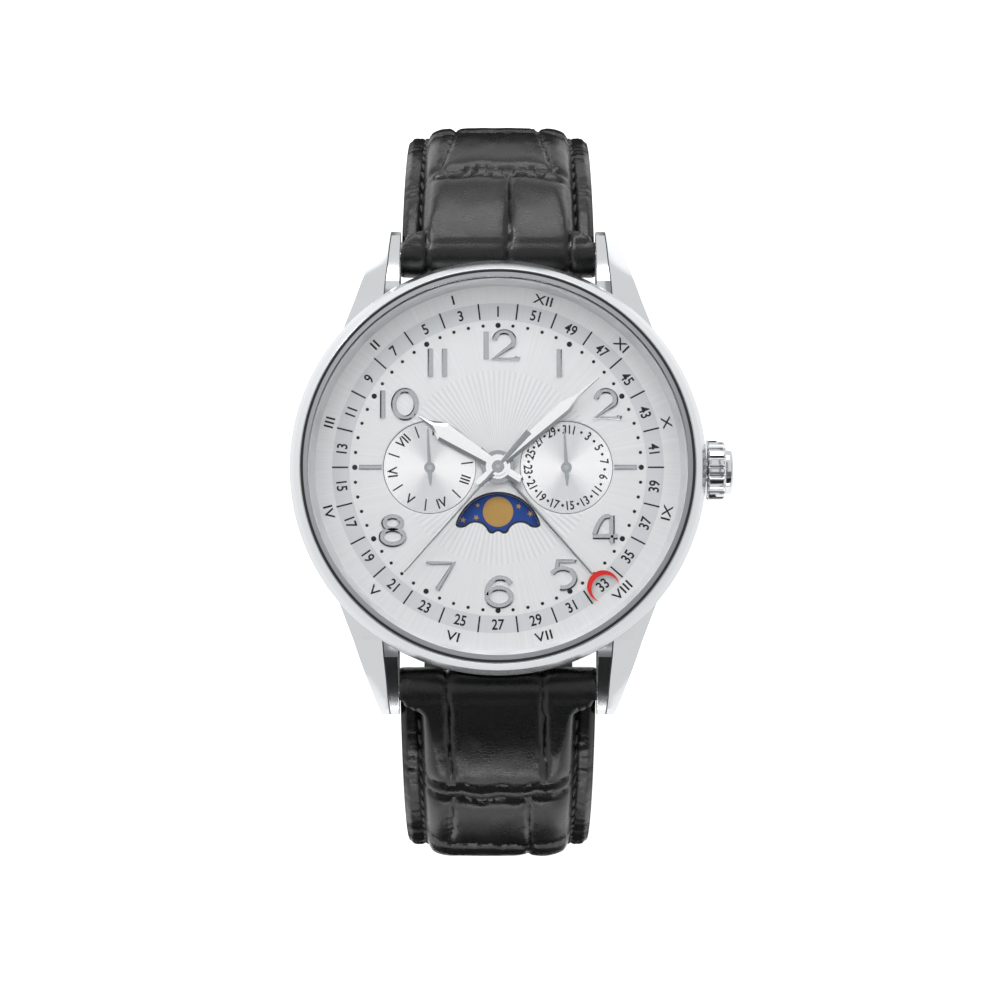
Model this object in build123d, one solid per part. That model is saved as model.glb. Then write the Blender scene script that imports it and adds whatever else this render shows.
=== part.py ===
from build123d import *
import os
from math import cos, radians, sin

# Moon phase watch with a padded leather strap, in millimetres.
# The origin lies on the hand axis, on the outer face of the case back.
# +Z points out of the dial, +Y to 12 o'clock and +X to the crown.
# Angles on the dial run clockwise from 12 o'clock, in degrees.

# Shared values
overrun = 1.0                   # how far a cut runs past the face that it opens
running_clearance = 0.05        # radial play of a turning fit
sliding_clearance = 0.03        # radial play of a sliding fit

# Case
case_radius = 20.8
case_top = 6.5                  # height of the face that carries the bezel
case_seat = 0.9                 # height of the face that the case back closes
case_foot_setback = 2.0
case_foot_bevel = 1.3
case_edge_bevel = 0.25
case_wall = 1.9                 # outside the bore that takes the movement holder
case_bore_floor = 2.0
collar_wall = 0.8               # collar that the bezel is pressed over
collar_setback = 0.8
collar_height = 0.6

# Lugs and spring bars
strap_size = 20.0               # the strap width that the lugs are made for
lug_play = 0.05                 # room beside the strap size, each side
lug_overhang = 2.5              # from the spring bars to the lug tips
lug_root_width = 6.4
lug_top = 6.45
bar_setback = 1.5               # from the case's widest point to the spring bars
bar_height = 2.6
bar_radius = 0.75
bar_pivot_radius = 0.40
bar_pivot_length = 0.9
bar_shoulder_gap = 0.2
strap_seat_radius = 2.65        # hollow in the case round each strap end

# Bezel, crystal and flange
bezel_overhang = 0.2            # how far the bezel stands out past the case
bezel_wall = 0.8
bezel_top = 9.2
bezel_rim = 0.12                # flat rim between the slope and the gasket
bezel_slope_bulge = 0.07
crystal_radius = 19.5
crystal_seat = 8.0
crystal_thickness = 1.6
crystal_ledge = 0.3             # ring of the bezel under the crystal's edge
crystal_bevel_width = 0.45
crystal_bevel_height = 0.30
gasket_width = 0.25
gasket_height = 1.32
flange_slope_width = 0.7
flange_top_wall = 0.15
flange_play = 0.05

# Case back
back_rim_setback = 0.2          # from the case's foot to the back's edge
back_seat_width = 1.4           # from the back's edge in to the case's opening
back_bevel_width = 0.7
back_line_radius = 14.6         # a turned line round the back's plain middle
back_line_width = 0.6
back_line_depth = 0.15
back_spigot_wall = 0.75
back_spigot_height = 0.7
back_groove_setback = 0.8       # from the back's edge to the gasket's groove
back_groove_width = 0.5
back_groove_depth = 0.45

# Crown and stem
stem_height = 3.9
stem_radius = 0.45
stem_square = 0.60
stem_inner_reach = 12.6         # from the hand axis to the inner end of the stem
stem_square_reach = 15.6
crown_gap = 0.35                # between the case and the crown's inner face
crown_radius = 3.1
crown_fluted_length = 1.85
crown_cap_radius = 2.55
crown_cap_length = 0.85
crown_cap_round = 0.3
crown_flutes = 20
crown_flute_depth = 0.22
crown_flute_mouth_share = 0.64  # of the pitch of the flutes
crown_flute_floor_share = 0.24
crown_bore_depth = 1.2
crown_thread_depth = 0.9
tube_radius = 1.2
tube_wall = 0.35
tube_into_crown = 1.0
crown_gasket_width = 0.35
crown_gasket_length = 0.4
crown_gasket_setback = 0.35
clutch_radius = 1.0
clutch_length = 1.3
clutch_reach = 13.6             # from the hand axis to the middle of the clutch
clutch_teeth = 12

# Movement: plates and holder
holder_lip_radius = 16.4
holder_play = 0.05
plate_radius = 16.95
plate_bottom = 3.2
plate_top = 4.6
pillar_radius = 0.7
pillar_ring_radius = 8.5
pillar_angle = 30
calendar_plate_bottom = 5.5
calendar_plate_thickness = 0.15
calendar_plate_radius = 11.2
bridge_bottom = 1.7
bridge_thickness = 0.35
bridge_width = 4.6
bridge_post_reach = 5.4
bridge_post_radius = 0.9
bridge_shift = -1.9             # the bridge's middle line, along Y
jewel_depth = 0.4

# Movement: power and timing
battery_radius = 4.75
battery_height = 2.1
battery_cap_height = 0.42
battery_cap_step = 0.35
battery_bottom = 1.65
battery_x = -8.0
battery_y = 8.0
battery_play = 0.1
clip_thickness = 0.2
clip_width = 2.2
board_thickness = 0.35
board_inner_radius = 8.2
board_outer_radius = 15.6
board_start = 98
board_sweep = 92
quartz_radius = 0.75
quartz_length = 5.0
quartz_ring_radius = 12.0
quartz_angle = 168
rotor_x = 3.9
rotor_y = 3.5
rotor_radius = 0.75
rotor_bottom = 2.25
rotor_height = 0.6
rotor_pivot_radius = 0.12
stator_thickness = 0.3
stator_bottom = 2.2
stator_width = 2.8
stator_hole_gap = 0.2
stator_length = 9.0
motor_turn = 40                 # the stator's direction from +X, anticlockwise
coil_offset = 3.0
coil_radius = 0.95
coil_core_radius = 0.3
coil_length = 6.4
coil_tab = 1.1
screw_head_radius = 0.7
screw_head_height = 0.25
screw_shank_radius = 0.38
screw_shank_length = 0.9

# Going train, below the main plate
train_distance = 3.4            # from the hand axis to the third wheel's arbor
train_angle = 180
seconds_pinion_teeth = 8
third_wheel_teeth = 60
third_pinion_teeth = 8
centre_wheel_teeth = 64
wheel_thickness = 0.2
wheel_rim_share = 0.84          # of the pitch radius, inside which a wheel is cut into spokes
third_hub_radius = 0.6
centre_hub_radius = 0.84
seconds_pinion_bottom = 2.3
seconds_pinion_height = 0.4
third_wheel_bottom = 2.4
third_pinion_height = 0.5
centre_wheel_bottom = 2.8
seconds_arbor_radius = 0.20
third_arbor_radius = 0.15

# Motion work, above the main plate
motion_distance = 2.4           # from the hand axis to the minute wheel's post
motion_angle = 45
cannon_teeth = 10
minute_wheel_teeth = 30
minute_pinion_teeth = 8
hour_wheel_teeth = 32
cannon_pinion_bottom = 4.68
cannon_pinion_height = 0.28
minute_wheel_bottom = 4.72
minute_pinion_top = 5.22
hour_wheel_bottom = 5.02
motion_post_radius = 0.25

# Nested tubes that carry the hands
tube_gap = 0.05                 # radial play between one tube and the next
cannon_tube_wall = 0.17
hour_tube_wall = 0.21
week_tube_wall = 0.22
small_arbor_radius = 0.25

# Tooth form, in shares of the module and of the tooth pitch
addendum_share = 0.75
dedendum_share = 1.15
tip_width_share = 0.16
root_width_share = 0.56

# Calendar wheels
week_wheel_teeth = 53
week_wheel_radius = 4.0
day_star_points = 7
day_star_radius = 2.4
date_star_points = 31
date_star_radius = 2.7
star_depth_share = 0.3          # depth of the teeth, as a share of the span between two tips
calendar_wheel_bottom = 5.28
calendar_wheel_thickness = 0.15
moon_disc_teeth = 59
moon_disc_radius = 4.75
moon_disc_bottom = 5.72
moon_disc_thickness = 0.22

# Dial
dial_play = 0.2
dial_thickness = 0.4
subdial_offset = 6.9            # from the hand axis to each subdial and to the moon disc
subdial_radius = 4.75
subdial_depth = 0.14
moon_window_radius = 4.23       # upper arc of the moon window, about the moon disc
moon_hump_radius = 1.5          # the two humps that hide a moon
moon_hump_reach = 2.27
moon_boss_radius = 0.62         # the small hump between them
moon_notch_height = 0.4         # foot of the notches beside it
moon_lobe_height = 0.88         # foot of the window's outer lobes
moon_lobe_round = 0.25
dial_foot_radius = 0.35
dial_foot_length = 0.9
dial_foot_ring_radius = 13.6
dial_foot_angles = (25, 205)
marker_length = 2.3
marker_width = 0.5
marker_height = 0.18
marker_bevel = 0.12
marker_ring_radius = 12.85
marker_angles = (90, 270)

# Hands: each length runs from the hand axis
hour_hand_length = 9.5
hour_hand_half_width = 0.98
hour_hand_shoulder = 6.6
hour_hand_needle_reach = 7.8    # where the leaf ends and its needle begins
hour_hand_needle_half_width = 0.24
hour_hand_neck_half_width = 0.52
hour_hand_tail = 2.85
hour_hand_tail_half_width = 0.5
hour_hand_thickness = 0.16
hour_hand_bottom = 7.02
hour_hand_turn = 302.5
minute_hand_length = 13.6
minute_hand_half_width = 0.72
minute_hand_shoulder = 9.1
minute_hand_needle_reach = 10.75
minute_hand_needle_half_width = 0.2
minute_hand_neck_half_width = 0.42
minute_hand_tail = 2.8
minute_hand_tail_half_width = 0.45
minute_hand_thickness = 0.14
minute_hand_bottom = 7.30
minute_hand_turn = 48.4
seconds_hand_length = 14.2
seconds_hand_half_width = 0.12
seconds_hand_tip_half_width = 0.06
seconds_hand_tail = 4.7
seconds_hand_tail_half_width = 0.32
seconds_hand_thickness = 0.10
seconds_hand_bottom = 7.56
seconds_hand_turn = 221.4
week_hand_half_width = 0.15
week_hand_tip_half_width = 0.08
week_hand_tail = 2.6
week_hand_hub_radius = 1.7
week_hand_thickness = 0.10
week_hand_bottom = 6.82
week_hand_turn = 138.7
crescent_gap = 0.85             # between the crescent and the flange
crescent_radius = 1.6
crescent_inner_radius = 1.45
crescent_shift = 0.27           # moves the inner circle outwards, which opens the crescent
small_hand_length = 3.9
small_hand_tail = 1.85
small_hand_half_width = 0.2
small_hand_tip_half_width = 0.06
small_hand_hub_radius = 0.55
small_hand_thickness = 0.10
small_hand_bottom = 6.44
small_hand_turn = -3
hub_wall = 0.42                 # metal round the hole of a central hand
hand_edge_share = 0.35          # height of a hand's edges, as a share of its ridge
hand_tip_share = 0.08           # width of a leaf hand's tip, as a share of its widest part

# Strap
strap_side_gap = 0.1            # room between the strap's edge and each lug
strap_end_width = 18.0          # width at the buckle and at the tail
strap_taper_length = 55.0
strap_pad_end = 42.0            # where the padding runs out, along the strap
strap_nose_radius = 2.3         # round end about the spring bar
strap_start_angle = -15         # the strap leaves the bar this far below level
strap_edge_thickness = 2.3
strap_flat_thickness = 2.4
strap_bore_radius = 0.80
lining_thickness = 0.55
wrist_radius = 19.3             # first bend of both halves
wrist_turn = 75
upper_bends = ((26.0, 30), (17.0, 60))
upper_run = 16.0
lower_bends = ((60.0, 20), (23.0, 74), (330.0, -6))
lower_run = 11.5
bend_step = 12.5
tail_point_length = 11.0
hole_radius = 0.85
hole_count = 6
hole_spacing = 5.6
hole_setback = 13.0             # from the tail's tip to the last hole
keeper_width = 3.8
keeper_thickness = 0.9
keeper_side_gap = 0.3
keeper_room_share = 2.0         # strap layers that the keeper closes round
keeper_layer_gap = 0.3
fixed_keeper_setback = 4.0
loose_keeper_gap = 0.5

# Buckle
buckle_bar_radius = 0.55
buckle_pivot_radius = 0.35
buckle_bore_radius = 0.6
buckle_side_gap = 0.2
buckle_arm_width = 1.7
buckle_ear_radius = 1.35
buckle_reach = 9.4              # from the bar to the middle of the front bar
buckle_front_width = 2.3
buckle_thickness = 1.7
buckle_corner_radius = 1.6
buckle_edge_bevel = 0.3
tang_width = 2.0
tang_thickness = 0.8
tang_loop_radius = 1.3
tang_overhang = 0.5
tang_tip_bevel = 0.2
tang_slot_gap = 0.3
tang_slot_reach = 1.2           # how far past the loop the slot runs, for the raised tang
tang_notch_depth = 0.4

# Sizes worked out from those above
lug_inner = strap_size / 2 + lug_play
bar_reach = case_radius + bar_setback
lug_reach = bar_reach + lug_overhang
case_bore_radius = case_radius - case_wall
case_foot_radius = case_radius - case_foot_setback
back_radius = case_foot_radius - back_rim_setback
back_bore_radius = back_radius - back_seat_width
back_groove_outer_radius = back_radius - back_groove_setback
back_groove_inner_radius = back_groove_outer_radius - back_groove_width
collar_outer_radius = case_radius - collar_setback
collar_inner_radius = collar_outer_radius - collar_wall
bezel_radius = case_radius + bezel_overhang
crystal_ledge_radius = crystal_radius - crystal_ledge
flange_radius = crystal_ledge_radius - flange_play
flange_foot_radius = flange_radius - flange_slope_width
crescent_centre = flange_foot_radius - crescent_gap - crescent_radius
crown_reach = case_radius + crown_gap
dial_radius = case_bore_radius - dial_play
dial_bottom = case_top - dial_thickness
gasket_radius = crystal_radius + gasket_width
crystal_top = crystal_seat + crystal_thickness
bezel_rim_radius = gasket_radius + bezel_rim
tube_reach = crown_reach + tube_into_crown
cannon_inner = seconds_arbor_radius + tube_gap
cannon_outer = cannon_inner + cannon_tube_wall
hour_inner = cannon_outer + tube_gap
hour_outer = hour_inner + hour_tube_wall
week_inner = hour_outer + tube_gap
week_outer = week_inner + week_tube_wall
hour_hand_top = hour_hand_bottom + hour_hand_thickness
minute_hand_top = minute_hand_bottom + minute_hand_thickness
seconds_hand_top = seconds_hand_bottom + seconds_hand_thickness
week_hand_top = week_hand_bottom + week_hand_thickness
small_hand_top = small_hand_bottom + small_hand_thickness
calendar_wheel_top = calendar_wheel_bottom + calendar_wheel_thickness
calendar_plate_top = calendar_plate_bottom + calendar_plate_thickness
pipe_radius = cannon_outer + running_clearance
small_hole_radius = small_arbor_radius + running_clearance
motor_middle = (stator_length - stator_width) / 2 - coil_tab

nodes = {}


def polar(radius, angle):
    """The point at a radius, at an angle clockwise from 12 o'clock."""
    return radius * sin(radians(angle)), radius * cos(radians(angle))


def disc(radius, bottom, top, hole=0):
    """A round piece on the Z axis, with a hole where one is given."""
    face = Circle(radius)
    if hole:
        face -= Circle(hole)
    return extrude(Pos(0, 0, bottom) * face, amount=top - bottom)


def turned(*points):
    """A ring turned about the Z axis from an outline of radius and height."""
    return revolve(Plane.XZ * make_face(Polyline(*points, close=True)), Axis.Z)


def block(width, length, bottom, top, x=0, y=0):
    """A square-edged piece standing on the height called bottom."""
    return extrude(Pos(x, y, bottom) * Rectangle(width, length), amount=top - bottom)


def bar_along_x(radius, start, end, y=0, z=0, hole=0):
    """A round bar along X."""
    face = Circle(radius)
    if hole:
        face -= Circle(hole)
    return extrude(Plane.YZ.offset(start) * Pos(y, z) * face, amount=end - start)


def toothed_wheel(teeth, module, bottom, height, hole=0):
    """A spur wheel whose teeth narrow to the tip, with a tooth pointing to 12 o'clock."""
    pitch = 360 / teeth
    root = module * (teeth / 2 - dedendum_share)
    tip = module * (teeth / 2 + addendum_share)
    outline = []
    for tooth in range(teeth):
        middle = tooth * pitch
        outline.append(polar(root, middle - pitch * root_width_share / 2))
        outline.append(polar(tip, middle - pitch * tip_width_share / 2))
        outline.append(polar(tip, middle + pitch * tip_width_share / 2))
        outline.append(polar(root, middle + pitch * root_width_share / 2))
    face = make_face(Polyline(*outline, close=True))
    if hole:
        face -= Circle(hole)
    return extrude(Pos(0, 0, bottom) * face, amount=height)


def star_wheel(points, radius, bottom, height, hole=0):
    """A calendar wheel with pointed teeth, one of them pointing to 12 o'clock."""
    pitch = 360 / points
    root = radius - star_depth_share * 2 * radius * sin(radians(pitch / 2))
    outline = []
    for tooth in range(points):
        outline.append(polar(radius, tooth * pitch))
        outline.append(polar(root, (tooth + 1 / 2) * pitch))
    face = make_face(Polyline(*outline, close=True))
    if hole:
        face -= Circle(hole)
    return extrude(Pos(0, 0, bottom) * face, amount=height)


def spoked(wheel, bottom, height, rim, hub):
    """The same wheel with its web opened between four spokes."""
    window = Circle(rim) - Circle(hub)
    window -= Rectangle(hub, 2 * rim)
    window -= Rectangle(2 * rim, hub)
    return wheel - extrude(Pos(0, 0, bottom) * window, amount=height)


def lug():
    """The lug to the left of 12 o'clock, lofted from the case wall to its tip."""
    # shares of the reach, of the root's width (ridge, outer edge) and of the top (top, edge, foot)
    section_shares = (
        (0.524, 0.26, 0.97, 1.00, 0.84, 0.05),
        (0.700, 0.24, 0.71, 1.00, 0.78, 0.05),
        (0.770, 0.22, 0.62, 0.96, 0.72, 0.05),
        (0.850, 0.19, 0.51, 0.82, 0.61, 0.05),
        (0.930, 0.17, 0.39, 0.62, 0.47, 0.06),
        (0.980, 0.15, 0.31, 0.48, 0.38, 0.09),
        (1.000, 0.14, 0.26, 0.38, 0.33, 0.15),
    )
    sections = []
    for reach, ridge, outer, top, edge, foot in section_shares:
        outline = Polyline(
            (-lug_inner, foot * lug_top),
            (-lug_inner, top * lug_top),
            (-lug_inner - ridge * lug_root_width, top * lug_top),
            (-lug_inner - outer * lug_root_width, edge * lug_top),
            (-lug_inner - outer * lug_root_width, foot * lug_top),
            close=True,
        )
        sections.append(Plane.XZ.offset(-reach * lug_reach) * make_face(outline))
    return loft(sections, ruled=True)


def mid_case():
    """The case band with its four lugs, hollow for the movement."""
    body = turned(
        (back_bore_radius, case_seat),
        (case_foot_radius, case_seat),
        (case_radius - case_edge_bevel, case_seat + case_foot_bevel),
        (case_radius, case_seat + case_foot_bevel + case_edge_bevel),
        (case_radius, case_top),
        (collar_outer_radius, case_top),
        (collar_outer_radius, case_top + collar_height),
        (collar_inner_radius, case_top + collar_height),
        (collar_inner_radius, case_top),
        (back_bore_radius, case_top),
    )
    left = lug()
    upper = left + mirror(left, about=Plane.YZ)
    body += upper + mirror(upper, about=Plane.XZ)
    body -= disc(case_bore_radius, case_bore_floor, case_top + overrun)
    body -= disc(back_bore_radius, case_seat - overrun, case_bore_floor + overrun)
    body -= disc(back_radius + running_clearance, case_seat - overrun, case_seat)
    body -= disc(
        back_groove_outer_radius,
        case_seat - overrun,
        case_seat + back_groove_depth,
        hole=back_groove_inner_radius,
    )
    hole_reach = lug_inner + bar_pivot_length + bar_shoulder_gap
    for side in (-1, 1):
        y = side * bar_reach
        body -= bar_along_x(strap_seat_radius, -lug_inner, lug_inner, y, bar_height)
        body -= bar_along_x(
            bar_pivot_radius + running_clearance, -hole_reach, hole_reach, y, bar_height
        )
    body -= bar_along_x(tube_radius, case_bore_radius - overrun, case_radius + overrun, 0, stem_height)
    return body


def bezel():
    """The sloping bezel, with a recess that is pressed over the case's collar."""
    wall_top = case_top + bezel_wall
    slope_middle_radius = (bezel_radius + bezel_rim_radius) / 2 + bezel_slope_bulge
    slope_middle_height = (wall_top + bezel_top) / 2 + bezel_slope_bulge
    recess_top = case_top + collar_height + sliding_clearance
    recess_radius = collar_outer_radius + sliding_clearance
    outline = Polyline(
        (bezel_rim_radius, bezel_top),
        (gasket_radius, bezel_top),
        (gasket_radius, crystal_seat),
        (crystal_ledge_radius, crystal_seat),
        (crystal_ledge_radius, recess_top),
        (recess_radius, recess_top),
        (recess_radius, case_top),
        (bezel_radius, case_top),
        (bezel_radius, wall_top),
    )
    slope = ThreePointArc(
        (bezel_radius, wall_top),
        (slope_middle_radius, slope_middle_height),
        (bezel_rim_radius, bezel_top),
    )
    return revolve(Plane.XZ * make_face(outline + slope), Axis.Z)


def crystal():
    """The flat crystal with its polished edge bevel."""
    return turned(
        (0, crystal_seat),
        (crystal_radius, crystal_seat),
        (crystal_radius, crystal_top - crystal_bevel_height),
        (crystal_radius - crystal_bevel_width, crystal_top),
        (0, crystal_top),
    )


def dial_flange():
    """The cone between the dial's edge and the crystal."""
    return turned(
        (flange_foot_radius, case_top),
        (flange_radius, case_top),
        (flange_radius, crystal_seat - flange_play),
        (flange_radius - flange_top_wall, crystal_seat - flange_play),
    )


def case_back():
    """The pressed back: bevelled edge, a turned line and an inner spigot."""
    spigot_outer = back_bore_radius - running_clearance
    line_outer = back_line_radius + back_line_width
    return turned(
        (0, 0),
        (back_line_radius, 0),
        (back_line_radius, back_line_depth),
        (line_outer, back_line_depth),
        (line_outer, 0),
        (back_radius - back_bevel_width, 0),
        (back_radius, case_seat),
        (spigot_outer, case_seat),
        (spigot_outer, case_seat + back_spigot_height),
        (spigot_outer - back_spigot_wall, case_seat + back_spigot_height),
        (spigot_outer - back_spigot_wall, case_seat),
        (0, case_seat),
    )


def spring_bar(side):
    """A spring bar: a body with a thin sprung pivot at each end."""
    y = side * bar_reach
    half = lug_inner - bar_shoulder_gap
    reach = half + bar_pivot_length
    return bar_along_x(bar_radius, -half, half, y, bar_height) + bar_along_x(
        bar_pivot_radius, -reach, reach, y, bar_height
    )


def crown():
    """The fluted crown with its smooth cap, bored for the case tube, gasket and stem."""
    cap_start = crown_reach + crown_fluted_length
    end = cap_start + crown_cap_length
    pitch = 360 / crown_flutes
    mouth = pitch * crown_flute_mouth_share / 2
    foot = pitch * crown_flute_floor_share / 2
    outline = []
    for flute in range(crown_flutes):
        middle = flute * pitch
        outline.append(polar(crown_radius, middle - mouth))
        outline.append(polar(crown_radius - crown_flute_depth, middle - foot))
        outline.append(polar(crown_radius - crown_flute_depth, middle + foot))
        outline.append(polar(crown_radius, middle + mouth))
    fluted = Plane.YZ.offset(crown_reach) * make_face(Polyline(*outline, close=True))
    body = extrude(fluted, amount=crown_fluted_length)
    cap = bar_along_x(crown_cap_radius, cap_start, end)
    body += chamfer(cap.edges().filter_by(GeomType.CIRCLE).sort_by(Axis.X)[-1], crown_cap_round)
    bore_end = crown_reach + crown_bore_depth
    body -= bar_along_x(tube_radius + sliding_clearance, crown_reach - overrun, bore_end)
    groove = crown_reach + crown_gasket_setback
    body -= bar_along_x(tube_radius + crown_gasket_width, groove, groove + crown_gasket_length)
    body -= bar_along_x(stem_radius, crown_reach, bore_end + crown_thread_depth)
    return Pos(0, 0, stem_height) * body


def crown_gasket():
    """The ring in the crown's groove that seals on the case tube."""
    start = crown_reach + crown_gasket_setback
    ring = bar_along_x(
        tube_radius + crown_gasket_width,
        start,
        start + crown_gasket_length,
        hole=tube_radius + sliding_clearance,
    )
    return Pos(0, 0, stem_height) * ring


def crown_tube():
    """The tube pressed through the case wall."""
    return Pos(0, 0, stem_height) * bar_along_x(
        tube_radius, case_bore_radius, tube_reach, hole=tube_radius - tube_wall
    )


def stem():
    """The winding stem: round outside, square inside where the clutch sits."""
    outer_end = crown_reach + crown_bore_depth + crown_thread_depth
    square = extrude(
        Plane.YZ.offset(stem_inner_reach) * Rectangle(stem_square, stem_square),
        amount=stem_square_reach - stem_inner_reach,
    )
    return Pos(0, 0, stem_height) * (square + bar_along_x(stem_radius, stem_square_reach, outer_end))


def clutch_pinion():
    """The pinion that the stem's square turns."""
    module = 2 * clutch_radius / (clutch_teeth + 2 * addendum_share)
    side = stem_square + 2 * sliding_clearance
    wheel = toothed_wheel(clutch_teeth, module, 0, clutch_length)
    wheel -= extrude(Pos(0, 0, -overrun) * Rectangle(side, side), amount=clutch_length + 2 * overrun)
    return Pos(clutch_reach - clutch_length / 2, 0, stem_height) * Rot(0, 90, 0) * wheel


def movement_holder():
    """The ring that centres the movement in the case and carries the dial's edge."""
    outer = case_bore_radius - holder_play
    ring = turned(
        (holder_lip_radius, case_bore_floor),
        (outer, case_bore_floor),
        (outer, dial_bottom),
        (plate_radius + holder_play, dial_bottom),
        (plate_radius + holder_play, plate_bottom),
        (holder_lip_radius, plate_bottom),
    )
    slot = bar_along_x(stem_radius + 2 * running_clearance, plate_radius, case_radius, 0, stem_height)
    return ring - slot


def motor_place():
    """Where the stepping motor lies: its rotor's axis and the stator's direction."""
    return Pos(rotor_x, rotor_y, 0) * Rot(0, 0, motor_turn)


def main_plate():
    """The main plate with its pockets, bearing holes, pillars and motion-work post."""
    plate = disc(plate_radius, plate_bottom, plate_top, hole=pipe_radius)
    for quarter in (pillar_angle, 180 - pillar_angle, 180 + pillar_angle, 360 - pillar_angle):
        x, y = polar(pillar_ring_radius, quarter)
        plate += Pos(x, y, 0) * disc(pillar_radius, plate_top, calendar_plate_bottom)
    motion_x, motion_y = polar(motion_distance, motion_angle)
    plate += Pos(motion_x, motion_y, 0) * disc(motion_post_radius, plate_top, minute_pinion_top)
    battery_top = battery_bottom + battery_height
    plate -= Pos(battery_x, battery_y, 0) * disc(
        battery_radius + battery_play, plate_bottom - overrun, battery_top + battery_play
    )
    coil_middle = stator_bottom + stator_thickness + coil_core_radius
    coil_half = coil_radius + battery_play
    plate -= motor_place() * block(
        coil_length + 2 * battery_play,
        2 * coil_half,
        plate_bottom - overrun,
        coil_middle + coil_half,
        motor_middle,
        coil_offset,
    )
    pocket = clutch_length + 2 * running_clearance
    plate -= block(
        pocket,
        2 * (clutch_radius + running_clearance),
        plate_bottom - overrun,
        plate_top + overrun,
        clutch_reach,
    )
    plate -= bar_along_x(
        stem_radius + running_clearance,
        stem_inner_reach - running_clearance,
        plate_radius + overrun,
        0,
        stem_height,
    )
    for angle in (90, 180, 270):
        x, y = polar(subdial_offset, angle)
        plate -= Pos(x, y, 0) * disc(small_hole_radius, plate_bottom + jewel_depth, plate_top + overrun)
    third_x, third_y = polar(train_distance, train_angle)
    plate -= Pos(third_x, third_y, 0) * disc(
        third_arbor_radius + running_clearance, plate_bottom - overrun, plate_bottom + jewel_depth
    )
    plate -= Pos(rotor_x, rotor_y, 0) * disc(
        rotor_pivot_radius + running_clearance, plate_bottom - overrun, plate_bottom + jewel_depth
    )
    for angle in dial_foot_angles:
        x, y = polar(dial_foot_ring_radius, angle)
        plate -= Pos(x, y, 0) * disc(
            dial_foot_radius + running_clearance, plate_top - dial_foot_length, plate_top + overrun
        )
    return plate


def calendar_plate():
    """The thin plate that keeps the calendar wheels down, on the main plate's pillars."""
    plate = disc(
        calendar_plate_radius,
        calendar_plate_bottom,
        calendar_plate_top,
        hole=week_outer + running_clearance,
    )
    for angle in (90, 180, 270):
        x, y = polar(subdial_offset, angle)
        plate -= Pos(x, y, 0) * disc(
            small_hole_radius, calendar_plate_bottom - overrun, calendar_plate_top + overrun
        )
    return plate


def train_bridge():
    """The bridge under the going train, on two posts, with an arm to the rotor."""
    top = bridge_bottom + bridge_thickness
    plate = block(
        2 * bridge_post_reach, bridge_width, bridge_bottom, top, y=bridge_shift
    )
    arm_length = rotor_y - bridge_shift + bridge_post_radius
    plate += block(
        2 * bridge_post_radius,
        arm_length,
        bridge_bottom,
        top,
        rotor_x,
        bridge_shift + arm_length / 2,
    )
    for side in (-1, 1):
        place = Pos(side * bridge_post_reach, bridge_shift, 0)
        plate += place * disc(bridge_width / 2, bridge_bottom, top)
        plate += place * disc(bridge_post_radius, top, plate_bottom)
        plate -= place * disc(
            screw_shank_radius, bridge_bottom - overrun, bridge_bottom + screw_shank_length
        )
    third_x, third_y = polar(train_distance, train_angle)
    for x, y, radius in (
        (0, 0, seconds_arbor_radius),
        (third_x, third_y, third_arbor_radius),
        (rotor_x, rotor_y, rotor_pivot_radius),
    ):
        plate -= Pos(x, y, 0) * disc(radius + running_clearance, bridge_bottom - overrun, top + overrun)
    return plate


def battery():
    """The button cell: a wide can with the smaller cap below it."""
    shoulder = battery_bottom + battery_cap_height
    can = disc(battery_radius, shoulder, battery_bottom + battery_height)
    cap = disc(battery_radius - battery_cap_step, battery_bottom, shoulder)
    return Pos(battery_x, battery_y, 0) * (can + cap)


def battery_clip():
    """The sprung strap across the cell, bent up at both ends to the plate."""
    half = battery_radius + battery_play + clip_thickness
    clip = block(2 * half, clip_width, battery_bottom - clip_thickness, battery_bottom)
    for side in (-1, 1):
        clip += block(
            clip_thickness,
            clip_width,
            battery_bottom - clip_thickness,
            plate_bottom,
            side * (half - clip_thickness / 2),
        )
    return Pos(battery_x, battery_y, 0) * Rot(0, 0, motor_turn) * clip


def circuit_board():
    """The crescent board under the plate."""
    ring = Circle(board_outer_radius) - Circle(board_inner_radius)
    far = 2 * board_outer_radius
    middle = board_start + board_sweep / 2
    wedge = make_face(
        Polyline(
            (0, 0),
            polar(far, board_start),
            polar(far, middle),
            polar(far, board_start + board_sweep),
            close=True,
        )
    )
    return extrude(Pos(0, 0, plate_bottom - board_thickness) * (ring & wedge), amount=board_thickness)


def quartz_can():
    """The can of the timing crystal, lying against the board."""
    x, y = polar(quartz_ring_radius, quartz_angle)
    can = bar_along_x(quartz_radius, -quartz_length / 2, quartz_length / 2)
    return Pos(x, y, plate_bottom - board_thickness - quartz_radius) * can


def stator():
    """The motor's stator: a flat bar with an eye round the rotor and two ends for the coil."""
    top = stator_bottom + stator_thickness
    tab_reach = (stator_length - coil_tab) / 2
    bar = block(stator_length, stator_width, stator_bottom, top, motor_middle)
    for end in (motor_middle - tab_reach, motor_middle + tab_reach):
        bar += block(coil_tab, coil_offset + coil_tab, stator_bottom, top, end, coil_offset / 2)
    bar -= disc(rotor_radius + stator_hole_gap, stator_bottom - overrun, top + overrun)
    return motor_place() * bar


def coil():
    """The drive coil on its core, laid across the stator's ends."""
    height = stator_bottom + stator_thickness + coil_core_radius
    core = bar_along_x(coil_core_radius, -stator_length / 2, stator_length / 2, coil_offset, height)
    core += bar_along_x(coil_radius, -coil_length / 2, coil_length / 2, coil_offset, height)
    return motor_place() * Pos(motor_middle, 0, 0) * core


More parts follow.
